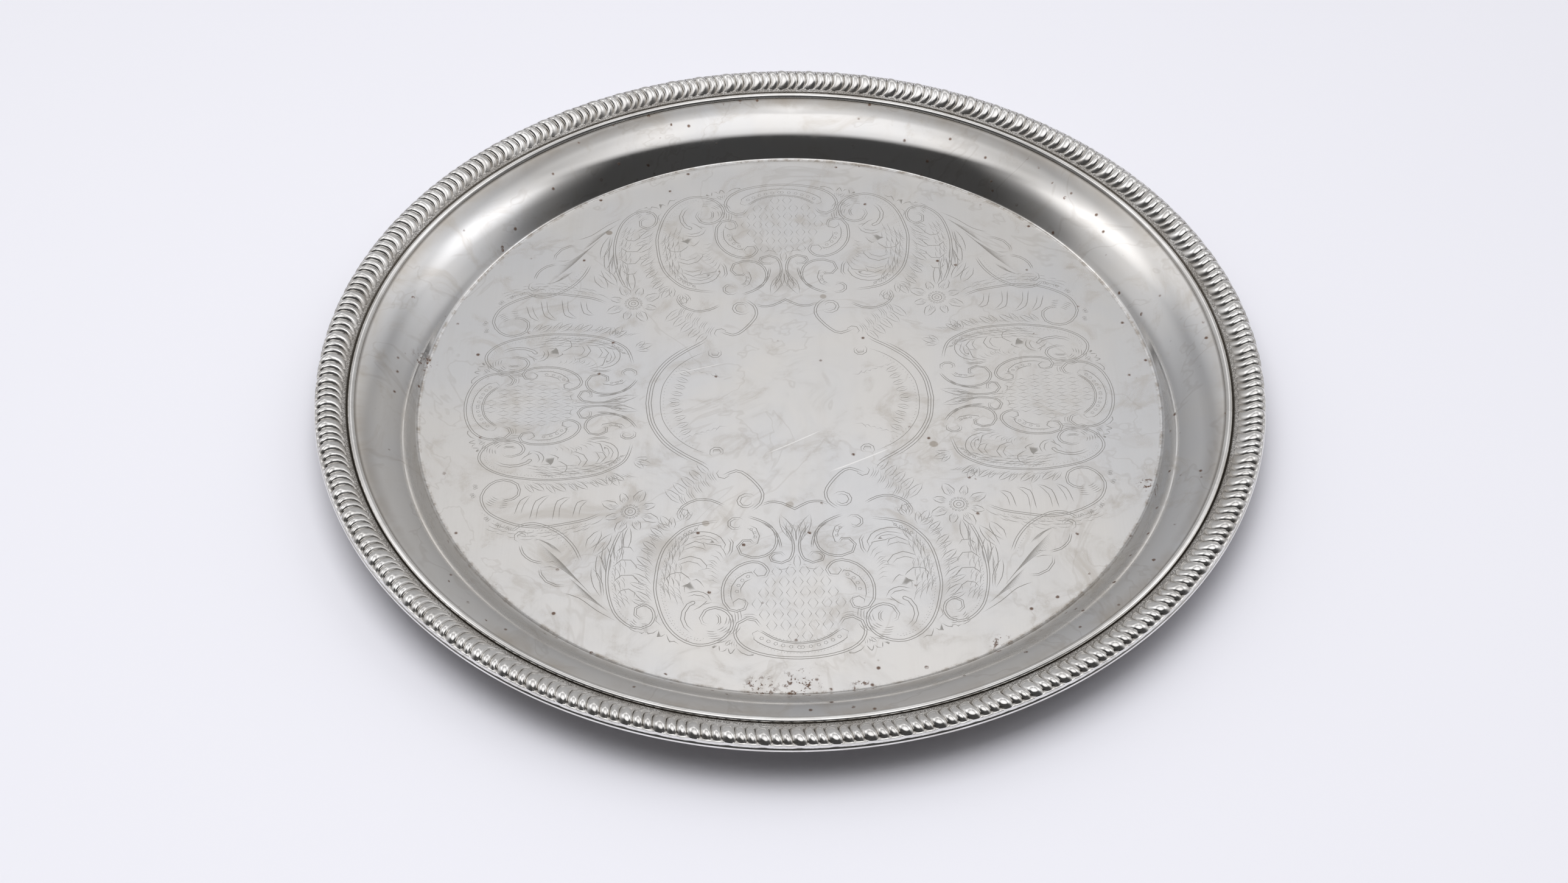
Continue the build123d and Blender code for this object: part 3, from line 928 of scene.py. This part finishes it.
def makePan():
    turns = pan["turns"]
    quarter = turns // 4
    solid, kept = quarterFloor(cornerX, quarter)
    verts, faces = [], []
    for mirrorX, mirrorY in ((1, 1), (-1, 1), (1, -1), (-1, -1)):
        start = len(verts)
        verts.extend((x * mirrorX, y * mirrorY, z) for x, y, z in solid)
        for f in kept:
            faces.append(tuple(start + i for i in (f if mirrorX == mirrorY else reversed(f))))

    # one sheet's profile from the floor's edge over the rim and back under to the middle
    sheet = profile["sheet"]
    edge = pan["rimRound"]
    shoulderFrom, shoulderTo = cornerEnd + math.pi, math.pi / 2 + rim
    line = arcPoints((cornerX, cornerZ), profile["cornerRadius"], -math.pi / 2, cornerEnd, 5)
    line += arcPoints((shoulderX, shoulderZ), profile["shoulderRadius"], shoulderFrom, shoulderTo, 16)[1:]
    line += [onRim(rimEndS - edge, 0), onRim(rimEndS, -edge), onRim(rimEndS, edge - sheet),
             onRim(rimEndS - edge, -sheet)]
    line += arcPoints((shoulderX, shoulderZ), profile["shoulderRadius"] - sheet, shoulderTo, shoulderFrom,
                      10)
    line += arcPoints((cornerX, cornerZ), profile["cornerRadius"] + sheet, cornerEnd, -math.pi / 2, 4)[1:]
    line += [(cornerX * 0.66, 0.0), (cornerX * 0.33, 0.0)]
    first = len(verts)
    for x, z in line:
        for i in range(turns):
            a = 2 * math.pi * i / turns
            verts.append((x * math.sin(a), -x * math.cos(a), z))
    for j in range(len(line) - 1):
        for i in range(turns):
            k = (i + 1) % turns
            faces.append((first + j * turns + i, first + j * turns + k, first + (j + 1) * turns + k,
                          first + (j + 1) * turns + i))
    last = first + (len(line) - 1) * turns
    verts.append((0, 0, 0))
    for i in range(turns):
        faces.append((last + i, last + (i + 1) % turns, len(verts) - 1))

    turn = math.radians(view["patternTurn"])
    c, s = math.cos(turn), math.sin(turn)
    verts = [(x * c - y * s, x * s + y * c, z) for x, y, z in verts]
    mesh = meshFrom("engravedPan", verts, faces)
    underTop = (sheet - engraving["depth"] - 0.1) * mm
    flatTo = (cornerX - 0.01) * mm
    smoothed(mesh, 52)
    for p in mesh.polygons:
        c = p.center
        p.use_smooth = not (c.z > underTop and math.hypot(c.x, c.y) < flatTo)
    return link("engravedPan", mesh)


# gadroon border
border = {
    "groups": 94,
    "lobeShares": (0.41, 0.31, 0.28),    # one broad lobe, then two slim ones
    "lobeColumns": (7, 6, 5),
    "crest": 2.97, "slimCrest": 2.84, "headEnd": 11.36, "broadReach": 0.2,
    "ledgeEnd": 11.58, "ledgeHeight": 0.84, "ledgeFall": 0.2,
    "tailSweep": 1.5, "headSweep": 1.25,
    "notch": 0.42, "scallop": 0.12, "groove": 0.13,     # groove between bead and band
    "wearSize": 0.08, "wearScale": 420.0, "wearSeed": 7, "join": 0.01, "boxMargin": 0.03,
}


def lobeCrest(t, top):
    # height over the rim at that share of the lobe's length, tail first
    return top * between(t, [
        (0.0, 0.2), (0.05, 0.34), (0.13, 0.5), (0.25, 0.69), (0.38, 0.85), (0.5, 0.94),
        (0.62, 0.99), (0.7, 1.0), (0.78, 0.93), (0.86, 0.81), (0.93, 0.67), (1.0, 0.5),
    ])


def lobeValley(t):
    # the same for the crease between two lobes
    return between(t, [(0.0, 0.44), (0.2, 0.9), (0.45, 1.4), (0.66, 1.72), (0.84, 1.42),
                       (1.0, border["ledgeHeight"] - 0.06)])


def sweep(t):
    # how far round a lobe leans at that share of its length, in millimetres
    tail = max(0.0, 1 - t / 0.36) ** 1.7 * border["tailSweep"]
    head = max(0.0, (t - 0.3) / 0.7) ** 1.5 * border["headSweep"]
    return tail + head


def groupTile():
    # one group of three lobes with its share of bead, band, ledge, fold and lip
    pitch = 2 * math.pi / border["groups"]
    columns = []        # (share of the pitch, place across its lobe from -1 to 1, lobe)
    start = 0.0
    for lobe, (share, count) in enumerate(zip(border["lobeShares"], border["lobeColumns"])):
        for i in range(count):
            u = -math.cos(math.pi * i / count)
            skew = u + 0.12 * (1 - u * u)      # crest a little to one side
            columns.append((start + share * (1 + skew) / 2, u, lobe))
        start += share
    columns.append((1.0, 1.0, 2))

    bandEnd = profile["beadRadius"] + profile["bandWidth"]
    headEnd = border["headEnd"]
    verts, rows = [], 0

    def addRow(lean, at):
        # at gives (s, h) for each column
        nonlocal rows
        for share, u, lobe in columns:
            s, h = at(share, u, lobe)
            x, z = onRim(s, h)
            angle = share * pitch + lean / beadX
            verts.append((x * math.cos(angle), x * math.sin(angle), z))
        rows += 1

    # bead and band
    endTurn = math.asin(border["groove"] / profile["beadRadius"])
    for s, h in arcPoints((0, 0), profile["beadRadius"], math.pi, endTurn, 9):
        addRow(sweep(0), lambda share, u, lobe, s=s, h=h: (s, h))
    addRow(sweep(0), lambda share, u, lobe: (profile["beadRadius"] + 0.2, border["groove"]))
    addRow(sweep(0), lambda share, u, lobe: (profile["beadRadius"] + 0.42, profile["borderSheet"] - 0.08))
    addRow(sweep(0), lambda share, u, lobe: (bandEnd - 0.1, profile["borderSheet"] - 0.04))

    # lobes
    def headS(u, lobe):
        return headEnd + (border["broadReach"] * (1 - u * u) if lobe == 0 else 0.0) - 0.25 * u * u

    for t in (0.0, 0.03, 0.08, 0.16, 0.28, 0.42, 0.56, 0.67, 0.76, 0.83, 0.89, 0.94, 0.98, 1.0):
        def lobeAt(share, u, lobe, t=t):
            tailStart = bandEnd + 0.45 * u * u
            s = tailStart + (headS(u, lobe) - tailStart) * t
            toHead = max(0.0, (t - 0.8) / 0.2)
            toTail = max(0.0, (0.08 - t) / 0.08)
            full = math.sqrt(max(0.0, 1 - u * u - toHead ** 3) * (1 - toTail * toTail))
            crest = lobeCrest(t, border["crest"] if lobe == 0 else border["slimCrest"])
            return s, lobeValley(t) + (crest - lobeValley(t)) * full
        addRow(sweep(t), lobeAt)

    # ledge: three shallow scallops, cut away in front of the broad lobe
    def ledgeEnd(share):
        start = 0.0
        scallop = 0.0
        for part in border["lobeShares"]:
            if share <= start + part + 1e-9:
                scallop = border["scallop"] * (math.sin(math.pi * (share - start) / part) - 0.6)
                break
            start += part
        gap = min(abs(share - 0.16), abs(share - 1.16))
        return border["ledgeEnd"] + scallop - math.exp(-((gap / 0.085) ** 2)) * border["notch"]

    def ledgeAt(part, fall):
        def at(share, u, lobe):
            return headS(u, lobe) + (ledgeEnd(share) - headS(u, lobe)) * part, border["ledgeHeight"] - fall
        return at

    lean = sweep(1.0)
    addRow(lean, ledgeAt(0.5, 0.4 * border["ledgeFall"]))
    addRow(lean, ledgeAt(0.92, 0.9 * border["ledgeFall"]))
    addRow(lean, ledgeAt(1.0, 1.2 * border["ledgeFall"]))

    # outer wall down to the rolled edge, then round the wire and clenched under the rim
    def foldPoint(degrees, radius):
        a = math.radians(degrees)
        return wireS + radius * math.cos(a), wireH + radius * math.sin(a)

    footS, footH = foldPoint(48, foldRadius)

    def wallAt(part):
        def at(share, u, lobe):
            s, h = ledgeAt(1.0, 1.2 * border["ledgeFall"])(share, u, lobe)
            return s + (footS - 0.05 - s) * part, h + (footH - h) * part
        return at

    addRow(lean, wallAt(0.35))
    addRow(lean, wallAt(0.97))
    for degrees in (40, 26, 12, -4, -22, -44, -72, -105):
        addRow(lean, lambda share, u, lobe, p=foldPoint(degrees, foldRadius): p)
    lipTop = -profile["sheet"] - profile["lipGap"]
    lipUnder = lipTop - profile["borderSheet"]
    clenchS = wireS - profile["wireDiameter"] / 2 - 0.55
    lipEnd = clenchS - profile["lipWidth"]
    bend = 0.12
    underside = [
        (clenchS - 0.35, lipUnder), (lipEnd + bend, lipUnder), (lipEnd, lipUnder + bend),
        (lipEnd, lipTop - bend), (lipEnd + bend, lipTop), (clenchS, lipTop),
        foldPoint(-125, foldInside), foldPoint(-50, foldInside), foldPoint(25, foldInside),
        (headInsideS, 0.35), (bandEnd + 0.5, 0.34), (bandEnd + 0.1, 0.0),
    ]
    for s, h in underside:
        addRow(lean, lambda share, u, lobe, s=s, h=h: (s, h))

    n = len(columns)
    faces = []
    for j in range(rows - 1):
        for i in range(n - 1):
            faces.append((j * n + i, j * n + i + 1, (j + 1) * n + i + 1, (j + 1) * n + i))
    for i in range(n - 1):      # close the underside back to the bead's toe
        faces.append(((rows - 1) * n + i, (rows - 1) * n + i + 1, i + 1, i))
    mesh = bpy.data.meshes.new("gadroonGroup")
    mesh.from_pydata([(x * mm, y * mm, z * mm) for x, y, z in verts], [], faces)
    return link("gadroonGroup", mesh)


def groupRingTree():
    # sets one group round the axis, joins the groups and wears them a little unevenly
    tree = bpy.data.node_groups.new("gadroonRing", "GeometryNodeTree")
    face = tree.interface
    face.new_socket("Geometry", in_out="INPUT", socket_type="NodeSocketGeometry")
    for name, kind in (("Group", "Object"), ("Groups", "Int"), ("Join", "Float"), ("Wear", "Float"),
                       ("Wear Scale", "Float"), ("Wear Seed", "Int"), ("Finish", "Material")):
        face.new_socket(name, in_out="INPUT", socket_type="NodeSocket" + kind)
    face.new_socket("Geometry", in_out="OUTPUT", socket_type="NodeSocketGeometry")
    nodes, links = tree.nodes, tree.links

    def add(kind, **settings):
        node = nodes.new(kind)
        for key, value in settings.items():
            setattr(node, key, value)
        return node

    given = add("NodeGroupInput").outputs
    points = add("GeometryNodePoints")
    links.new(given["Groups"], points.inputs["Count"])
    step = add("ShaderNodeMath", operation="DIVIDE")
    step.inputs[0].default_value = 2 * math.pi
    links.new(given["Groups"], step.inputs[1])
    angle = add("ShaderNodeMath", operation="MULTIPLY")
    links.new(add("GeometryNodeInputIndex").outputs[0], angle.inputs[0])
    links.new(step.outputs[0], angle.inputs[1])
    spin = add("ShaderNodeCombineXYZ")
    links.new(angle.outputs[0], spin.inputs["Z"])
    group = add("GeometryNodeObjectInfo", transform_space="ORIGINAL")
    links.new(given["Group"], group.inputs["Object"])
    place = add("GeometryNodeInstanceOnPoints")
    links.new(points.outputs[0], place.inputs["Points"])
    links.new(group.outputs["Geometry"], place.inputs["Instance"])
    links.new(spin.outputs[0], place.inputs["Rotation"])
    real = add("GeometryNodeRealizeInstances")
    links.new(place.outputs[0], real.inputs[0])
    join = add("GeometryNodeMergeByDistance")
    links.new(real.outputs[0], join.inputs["Geometry"])
    links.new(given["Join"], join.inputs["Distance"])

    noise = add("ShaderNodeTexNoise", noise_dimensions="4D")
    links.new(given["Wear Scale"], noise.inputs["Scale"])
    links.new(given["Wear Seed"], noise.inputs["W"])
    links.new(add("GeometryNodeInputPosition").outputs[0], noise.inputs["Vector"])
    centred = add("ShaderNodeVectorMath", operation="SUBTRACT")
    links.new(noise.outputs["Color"], centred.inputs[0])
    centred.inputs[1].default_value = (0.5, 0.5, 0.75)      # wear only lowers the metal
    amount = add("ShaderNodeVectorMath", operation="SCALE")
    links.new(centred.outputs[0], amount.inputs[0])
    links.new(given["Wear"], amount.inputs["Scale"])
    move = add("GeometryNodeSetPosition")
    links.new(join.outputs[0], move.inputs["Geometry"])
    links.new(amount.outputs[0], move.inputs["Offset"])
    # only the lobes wear, so the bead, the rolled edge and the underside stay true
    split = add("ShaderNodeSeparateXYZ")
    links.new(add("GeometryNodeInputPosition").outputs[0], split.inputs[0])
    flat = add("ShaderNodeCombineXYZ")
    links.new(split.outputs["X"], flat.inputs["X"])
    links.new(split.outputs["Y"], flat.inputs["Y"])
    length = add("ShaderNodeVectorMath", operation="LENGTH")
    links.new(flat.outputs[0], length.inputs[0])
    inner = add("FunctionNodeCompare", data_type="FLOAT", operation="GREATER_THAN")
    links.new(length.outputs["Value"], inner.inputs[0])
    inner.inputs[1].default_value = onRim(3.2, 0)[0] * mm
    outer = add("FunctionNodeCompare", data_type="FLOAT", operation="LESS_THAN")
    links.new(length.outputs["Value"], outer.inputs[0])
    outer.inputs[1].default_value = onRim(10.5, 0)[0] * mm
    high = add("ShaderNodeMath", operation="MULTIPLY_ADD")      # height over the rim's slope
    links.new(length.outputs["Value"], high.inputs[0])
    high.inputs[1].default_value = -math.tan(rim)
    links.new(split.outputs["Z"], high.inputs[2])
    above = add("FunctionNodeCompare", data_type="FLOAT", operation="GREATER_THAN")
    links.new(high.outputs[0], above.inputs[0])
    above.inputs[1].default_value = (beadZ - beadX * math.tan(rim) + 0.95) * mm
    both = add("FunctionNodeBooleanMath", operation="AND")
    links.new(inner.outputs[0], both.inputs[0])
    links.new(outer.outputs[0], both.inputs[1])
    worn = add("FunctionNodeBooleanMath", operation="AND")
    links.new(both.outputs[0], worn.inputs[0])
    links.new(above.outputs[0], worn.inputs[1])
    links.new(worn.outputs[0], move.inputs["Selection"])

    finish = add("GeometryNodeSetMaterial")
    links.new(move.outputs[0], finish.inputs["Geometry"])
    links.new(given["Finish"], finish.inputs["Material"])
    out = add("NodeGroupOutput")
    links.new(finish.outputs[0], out.inputs["Geometry"])
    return tree


def makeBorder(finish):
    tile = groupTile()
    holder = link("gadroonHolder", bpy.data.meshes.new("gadroonHolder"))
    tree = groupRingTree()
    setter = holder.modifiers.new("gadroonRing", "NODES")
    setter.node_group = tree
    values = {
        "Group": tile, "Groups": border["groups"], "Join": border["join"] * mm,
        "Wear": border["wearSize"] * mm,
        "Wear Scale": border["wearScale"], "Wear Seed": border["wearSeed"], "Finish": finish,
    }
    for socket in tree.interface.items_tree:
        if socket.item_type == "SOCKET" and socket.in_out == "INPUT" and socket.name in values:
            setter[socket.identifier] = values[socket.name]
    bpy.context.view_layer.update()
    graph = bpy.context.evaluated_depsgraph_get()
    mesh = bpy.data.meshes.new_from_object(holder.evaluated_get(graph))
    mesh.name = "gadroonRing"
    holder.modifiers.remove(setter)
    bpy.data.objects.remove(holder)
    bpy.data.objects.remove(tile)

    # keep inside the CAD's box, whose circles are many-sided
    low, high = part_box("gadroon_border")
    limit = min(high.x, high.y, -low.x, -low.y) - border["boxMargin"] * mm
    widest = max(math.hypot(v.co.x, v.co.y) for v in mesh.vertices)
    squeeze = min(1.0, limit / widest)
    turn = math.radians(view["patternTurn"])
    c, s = math.cos(turn) * squeeze, math.sin(turn) * squeeze
    for v in mesh.vertices:
        v.co.x, v.co.y = v.co.x * c - v.co.y * s, v.co.x * s + v.co.y * c
    return link("gadroonRing", smoothed(cleaned(mesh), 58))


# solder in the hollow under the lobes
solder = {"turns": 188, "start": 3.1, "end": 10.8, "height": 0.29}


def makeSolder():
    turns = solder["turns"]
    line = [onRim(solder["start"], 0.01), onRim(solder["end"], 0.01),
            onRim(solder["end"], solder["height"]), onRim(solder["start"] + 0.35, solder["height"] - 0.05)]
    verts, faces = [], []
    for x, z in line:
        for i in range(turns):
            a = 2 * math.pi * i / turns
            verts.append((x * math.cos(a), x * math.sin(a), z))
    n = len(line)
    for j in range(n):
        for i in range(turns):
            k = (i + 1) % turns
            faces.append((j * turns + i, j * turns + k, ((j + 1) % n) * turns + k,
                          ((j + 1) % n) * turns + i))
    return link("solderFill", smoothed(meshFrom("solderFill", verts, faces), 40))


# finishes
finish = {
    "silver": (0.745, 0.728, 0.70, 1), "bright": (0.88, 0.87, 0.85, 1), "cool": (0.70, 0.702, 0.705, 1),
    "stain": (0.50, 0.44, 0.36, 1), "tarnish": (0.31, 0.262, 0.205, 1), "rust": (0.15, 0.07, 0.035, 1),
    # shadeAndDirt is near-black: painted shade in the crevice, the creases and beside the bead, and the
    # darker stippling
    "shadeAndDirt": (0.075, 0.064, 0.05, 1), "cut": (0.29, 0.272, 0.24, 1), "scratch": (0.93, 0.92, 0.90, 1),
    "floorRough": 0.23, "wallRough": 0.085, "borderRough": 0.065,
    # marks on the floor: across, outwards, radius, strength
    "stains": [(-10.3, 73.2, 3.6, 0.16), (-1.9, 58.9, 4.2, 0.2), (11.5, 50.6, 0.9, 0.5),
               (-64.8, 83.5, 0.9, 0.7), (47.4, -20.1, 1.1, 0.62), (0.0, -47.1, 1.0, 0.42),
               (-26.8, -55.3, 0.9, 0.5)],
    "scratches": [((-8.3, -25.3), (11.1, -13.8), 0.32), ((12.2, -33.3), (34.2, -21.6), 0.36),
                  ((-40.0, 12.0), (-22.0, 17.5), 0.2)],
    # groups of rust specks: across, outwards, radius of the group
    "rustAt": [(-8.6, -121.6, 4.5), (3.6, -120.8, 6.0), (22.1, -121.4, 3.0), (65.5, -104.7, 3.5),
               (-123.6, 16.3, 3.5), (116.0, -38.0, 3.0)],
}


def platedPan():
    # plating over the sheet: satin floor, brighter wall and rim, with wear, stains and rust, and painted
    # shade beside the bead
    s = Shade("platedPan")
    radius, height = s.radius(), s.parts.outputs["Z"]
    onFloor = s.ramp(radius, (cornerX + 0.9) * mm, (cornerX - 0.1) * mm)
    cloud = s.noise(13.0, 4.0, 0.6, distortion=0.7)
    blotch = s.noise(46.0, 5.0, 0.66, distortion=1.5)
    wipe = s.noise(150.0, 3.0, 0.6, s.stretched((1, 0.05, 1), (0, 0, 0.12)))
    colour = s.mix(s.ramp(cloud, 0.34, 0.68), finish["silver"], finish["cool"])
    colour = s.mix(s.times(s.ramp(blotch, 0.5, 0.74), 0.34), colour, finish["stain"])
    colour = s.mix(s.times(s.ramp(wipe, 0.45, 0.75), 0.07), colour, finish["stain"])
    # tide marks where water dried
    tide = s.math("ABSOLUTE", s.minus(s.noise(19.0, 4.0, 0.6, distortion=1.0), 0.52))
    colour = s.mix(s.times(s.ramp(tide, 0.014, 0.002), 0.13), colour, finish["tarnish"])
    # the cuts hold a little tarnish, and the plating round them is rubbed dull
    top = s.ramp(height, (profile["sheet"] - 0.2) * mm, (profile["sheet"] - 0.12) * mm)
    brim, deep = (profile["sheet"] - share * engraving["depth"] for share in (0.06, 0.36))
    inCut = s.ramp(height, brim * mm, deep * mm)
    inCut = s.times(s.times(inCut, top), onFloor)
    colour = s.mix(s.times(inCut, 0.62), colour, finish["cut"])
    for x, y, size, strength in finish["stains"]:
        spot = s.times(s.spot(x, y, size, size * 0.6, s.noise(240.0, 4.0, 0.65)), top)
        colour = s.mix(s.times(spot, strength), colour, finish["tarnish"])
    marks = None
    for start, end, width in finish["scratches"]:
        mark = s.times(s.scratch(start, end, width), onFloor)
        marks = mark if marks is None else s.math("MAXIMUM", marks, mark)
    colour = s.mix(s.times(marks, 0.8), colour, finish["scratch"])
    # brown line in the corner, tarnish under the bead and painted shade in the crevice beside the bead
    crumb = s.noise(260.0, 4.0, 0.7)
    inCorner = s.ramp(s.math("ABSOLUTE", s.minus(radius, (cornerX + 0.25) * mm)), 1.1 * mm, 0.1 * mm)
    inCorner = s.times(inCorner, s.ramp(crumb, 0.4, 0.68))
    colour = s.mix(s.times(inCorner, 0.75), colour, finish["tarnish"])
    patchy = s.noise(34.0, 4.0, 0.62, distortion=0.8)
    underBead = s.times(s.ramp(radius, 137.5 * mm, 143.0 * mm), s.ramp(patchy, 0.3, 0.72))
    colour = s.mix(s.times(underBead, 0.62), colour, finish["stain"])
    # painted shade: near-black in the crevice where the pan meets the bead
    paintedCreviceShade = s.ramp(radius, (beadX - 2.1) * mm, (beadX - 1.25) * mm)
    colour = s.mix(s.times(paintedCreviceShade, 0.55), colour, finish["shadeAndDirt"])
    # specks of rust, thick in a few places and thin elsewhere
    speck = s.cells(480.0)
    near = None
    for x, y, size in finish["rustAt"]:
        here = s.spot(x, y, size * 0.45, size)
        near = here if near is None else s.math("MAXIMUM", near, here)
    many = s.plus(s.times(near, 0.12), s.times(s.ramp(radius, 112 * mm, 124 * mm), 0.03))
    many = s.plus(many, 0.005)
    chance = s.add("ShaderNodeSeparateColor")
    s.links.new(speck.outputs["Color"], chance.inputs[0])
    chosen = s.math("LESS_THAN", chance.outputs[0], many)
    dot = s.times(s.ramp(speck.outputs["Distance"], 0.42, 0.16), chosen)
    dot = s.times(dot, s.ramp(crumb, 0.36, 0.5))
    crust = s.times(s.ramp(s.noise(520.0, 5.0, 0.7), 0.545, 0.585), near)
    dot = s.math("MAXIMUM", dot, crust)
    colour = s.mix(s.times(dot, 0.85), colour, finish["rust"])
    s.put(s.shader.inputs["Base Color"], colour)
    s.shader.inputs["Metallic"].default_value = 1.0
    rough = s.plus(s.times(onFloor, finish["floorRough"] - finish["wallRough"]), finish["wallRough"])
    rough = s.plus(rough, s.times(s.ramp(blotch, 0.4, 0.75), 0.07))
    rough = s.plus(rough, s.times(s.math("MAXIMUM", dot, inCut), 0.2))
    s.put(s.shader.inputs["Roughness"], rough)
    fine = s.noise(1400.0, 2.0, 0.5, s.stretched((1, 0.05, 1), (0, 0, 0.12)))
    low = s.bump(s.noise(26.0, 2.0, 0.5), 0.10, 0.0004)
    s.put(s.shader.inputs["Normal"], s.bump(s.plus(s.times(fine, onFloor), dot), 0.10, 0.00006, low))
    return s.material


def rimReach(s, h):
    # distance from the axis, in metres, of a place on the rim
    return onRim(s, h)[0] * mm


def platedBorder():
    # bright worn crests, darker low parts of brown tarnish mixed with painted shade, painted shade in the
    # creases and beside the bead, and a stippled band beside the bead
    s = Shade("platedBorder")
    radius = s.radius()
    over = s.minus(s.minus(s.parts.outputs["Z"], s.times(radius, math.tan(rim))),
                   (beadZ - beadX * math.tan(rim)) * mm)
    lobes = s.window(radius, rimReach(1.3, 0.5), rimReach(1.9, 0.5), rimReach(10.9, 1.0),
                     rimReach(11.35, 1.0))
    patchy = s.noise(75.0, 4.0, 0.65, distortion=0.8)
    patchyTarnishAndShade = s.ramp(patchy, 0.28, 0.62, 0.35, 1.0)
    # darker low between the lobes: partly brown tarnish, partly painted shade
    low = s.times(s.ramp(over, 2.35 * mm, 0.9 * mm), lobes)
    colour = s.mix(s.ramp(patchy, 0.35, 0.7), finish["bright"], finish["silver"])
    colour = s.mix(s.times(s.times(low, patchyTarnishAndShade), 0.38), colour, finish["tarnish"])
    # painted shade: near-black down the creases between the lobes
    paintedCreaseShade = s.times(s.ramp(over, 1.8 * mm, 1.25 * mm), lobes)
    inLobes = s.window(radius, rimReach(4.6, 1.0), rimReach(6.4, 1.0), rimReach(10.2, 1.0),
                       rimReach(11.2, 1.0))
    paintedCreaseShade = s.times(paintedCreaseShade, inLobes)
    colour = s.mix(s.times(paintedCreaseShade, 0.8), colour, finish["shadeAndDirt"])
    # painted shade: a dark line in the gap between the bead and the lobes
    besideBeadShadeBand = s.window(radius, rimReach(0.7, 0.5), rimReach(1.0, 0.5), rimReach(1.6, 0.5),
                        rimReach(2.0, 0.5))
    groove = s.times(s.ramp(over, 0.58 * mm, 0.4 * mm), besideBeadShadeBand)
    colour = s.mix(s.times(groove, 0.93), colour, finish["shadeAndDirt"])
    # stippled band
    inBand = s.window(radius, rimReach(1.15, 0.5), rimReach(1.4, 0.5), rimReach(2.8, 0.6),
                      rimReach(3.3, 0.6))
    stipple = s.cells(2300.0).outputs["Distance"]
    colour = s.mix(s.times(s.times(inBand, s.ramp(stipple, 0.25, 0.6)), 0.6), colour, finish["shadeAndDirt"])
    s.put(s.shader.inputs["Base Color"], colour)
    s.shader.inputs["Metallic"].default_value = 1.0
    rough = s.plus(finish["borderRough"], s.times(s.ramp(patchy, 0.3, 0.7), 0.08))
    s.put(s.shader.inputs["Roughness"], s.plus(rough, s.times(low, 0.2)))
    worn = s.bump(s.noise(900.0, 3.0, 0.6), 0.16, 0.00008)
    s.put(s.shader.inputs["Normal"], s.bump(s.times(s.minus(1.0, stipple), inBand), 0.8, 0.00012, worn))
    return s.material


def softSolder():
    s = Shade("softSolder")
    cloud = s.noise(300.0, 3.0, 0.6)
    s.put(s.shader.inputs["Base Color"], s.mix(cloud, (0.42, 0.42, 0.43, 1), (0.3, 0.3, 0.31, 1)))
    s.shader.inputs["Metallic"].default_value = 1.0
    s.put(s.shader.inputs["Roughness"], s.plus(0.4, s.times(cloud, 0.2)))
    return s.material


def steelWire():
    s = Shade("steelWire")
    cloud = s.noise(200.0, 3.0, 0.6)
    s.put(s.shader.inputs["Base Color"], s.mix(cloud, (0.36, 0.35, 0.34, 1), (0.22, 0.17, 0.13, 1)))
    s.shader.inputs["Metallic"].default_value = 1.0
    s.put(s.shader.inputs["Roughness"], s.plus(0.3, s.times(cloud, 0.25)))
    return s.material


# the surface that the plate stands on, in metres
backdropSize = {"half": 3.0, "level": -0.0002}


def paleFloor():
    s = Shade("paleFloor")
    paper = s.noise(3.0, 2.0, 0.5)
    s.put(s.shader.inputs["Base Color"], s.mix(paper, (0.86, 0.86, 0.92, 1), (0.875, 0.875, 0.93, 1)))
    s.shader.inputs["Roughness"].default_value = 0.75
    return s.material


def dress(piece, material):
    piece.data.materials.clear()
    piece.data.materials.append(material)


makeCamera()
makeWorld()
areaLight("overheadBox", light["boxAt"], (0, 0, 0), light["boxSize"], light["box"])
scene.view_settings.view_transform = "Standard"
print("camera and light are up")

w, z = backdropSize["half"], backdropSize["level"]
ground = bpy.data.meshes.new("backdrop")
ground.from_pydata([(-w, -w, z), (w, -w, z), (w, w, z), (-w, w, z)], [], [(0, 1, 2, 3)])
backdrop = link("backdrop", ground)
dress(backdrop, paleFloor())

drawPattern()
print("pattern drawn,", len(strokes), "strokes")
panPiece = makePan()
dress(panPiece, platedPan())
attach(panPiece, "root")
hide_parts("pan")
print("pan made,", len(panPiece.data.polygons), "faces")

borderFinish = platedBorder()
borderPiece = makeBorder(borderFinish)
dress(borderPiece, borderFinish)
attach(borderPiece, "root")
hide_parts("gadroon_border")
print("border made,", len(borderPiece.data.polygons), "faces")

solderPiece = makeSolder()
dress(solderPiece, softSolder())
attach(solderPiece, "root")
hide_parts("border_solder")

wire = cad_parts["edge_wire"]
dress(wire, steelWire())
print("solder and wire made")
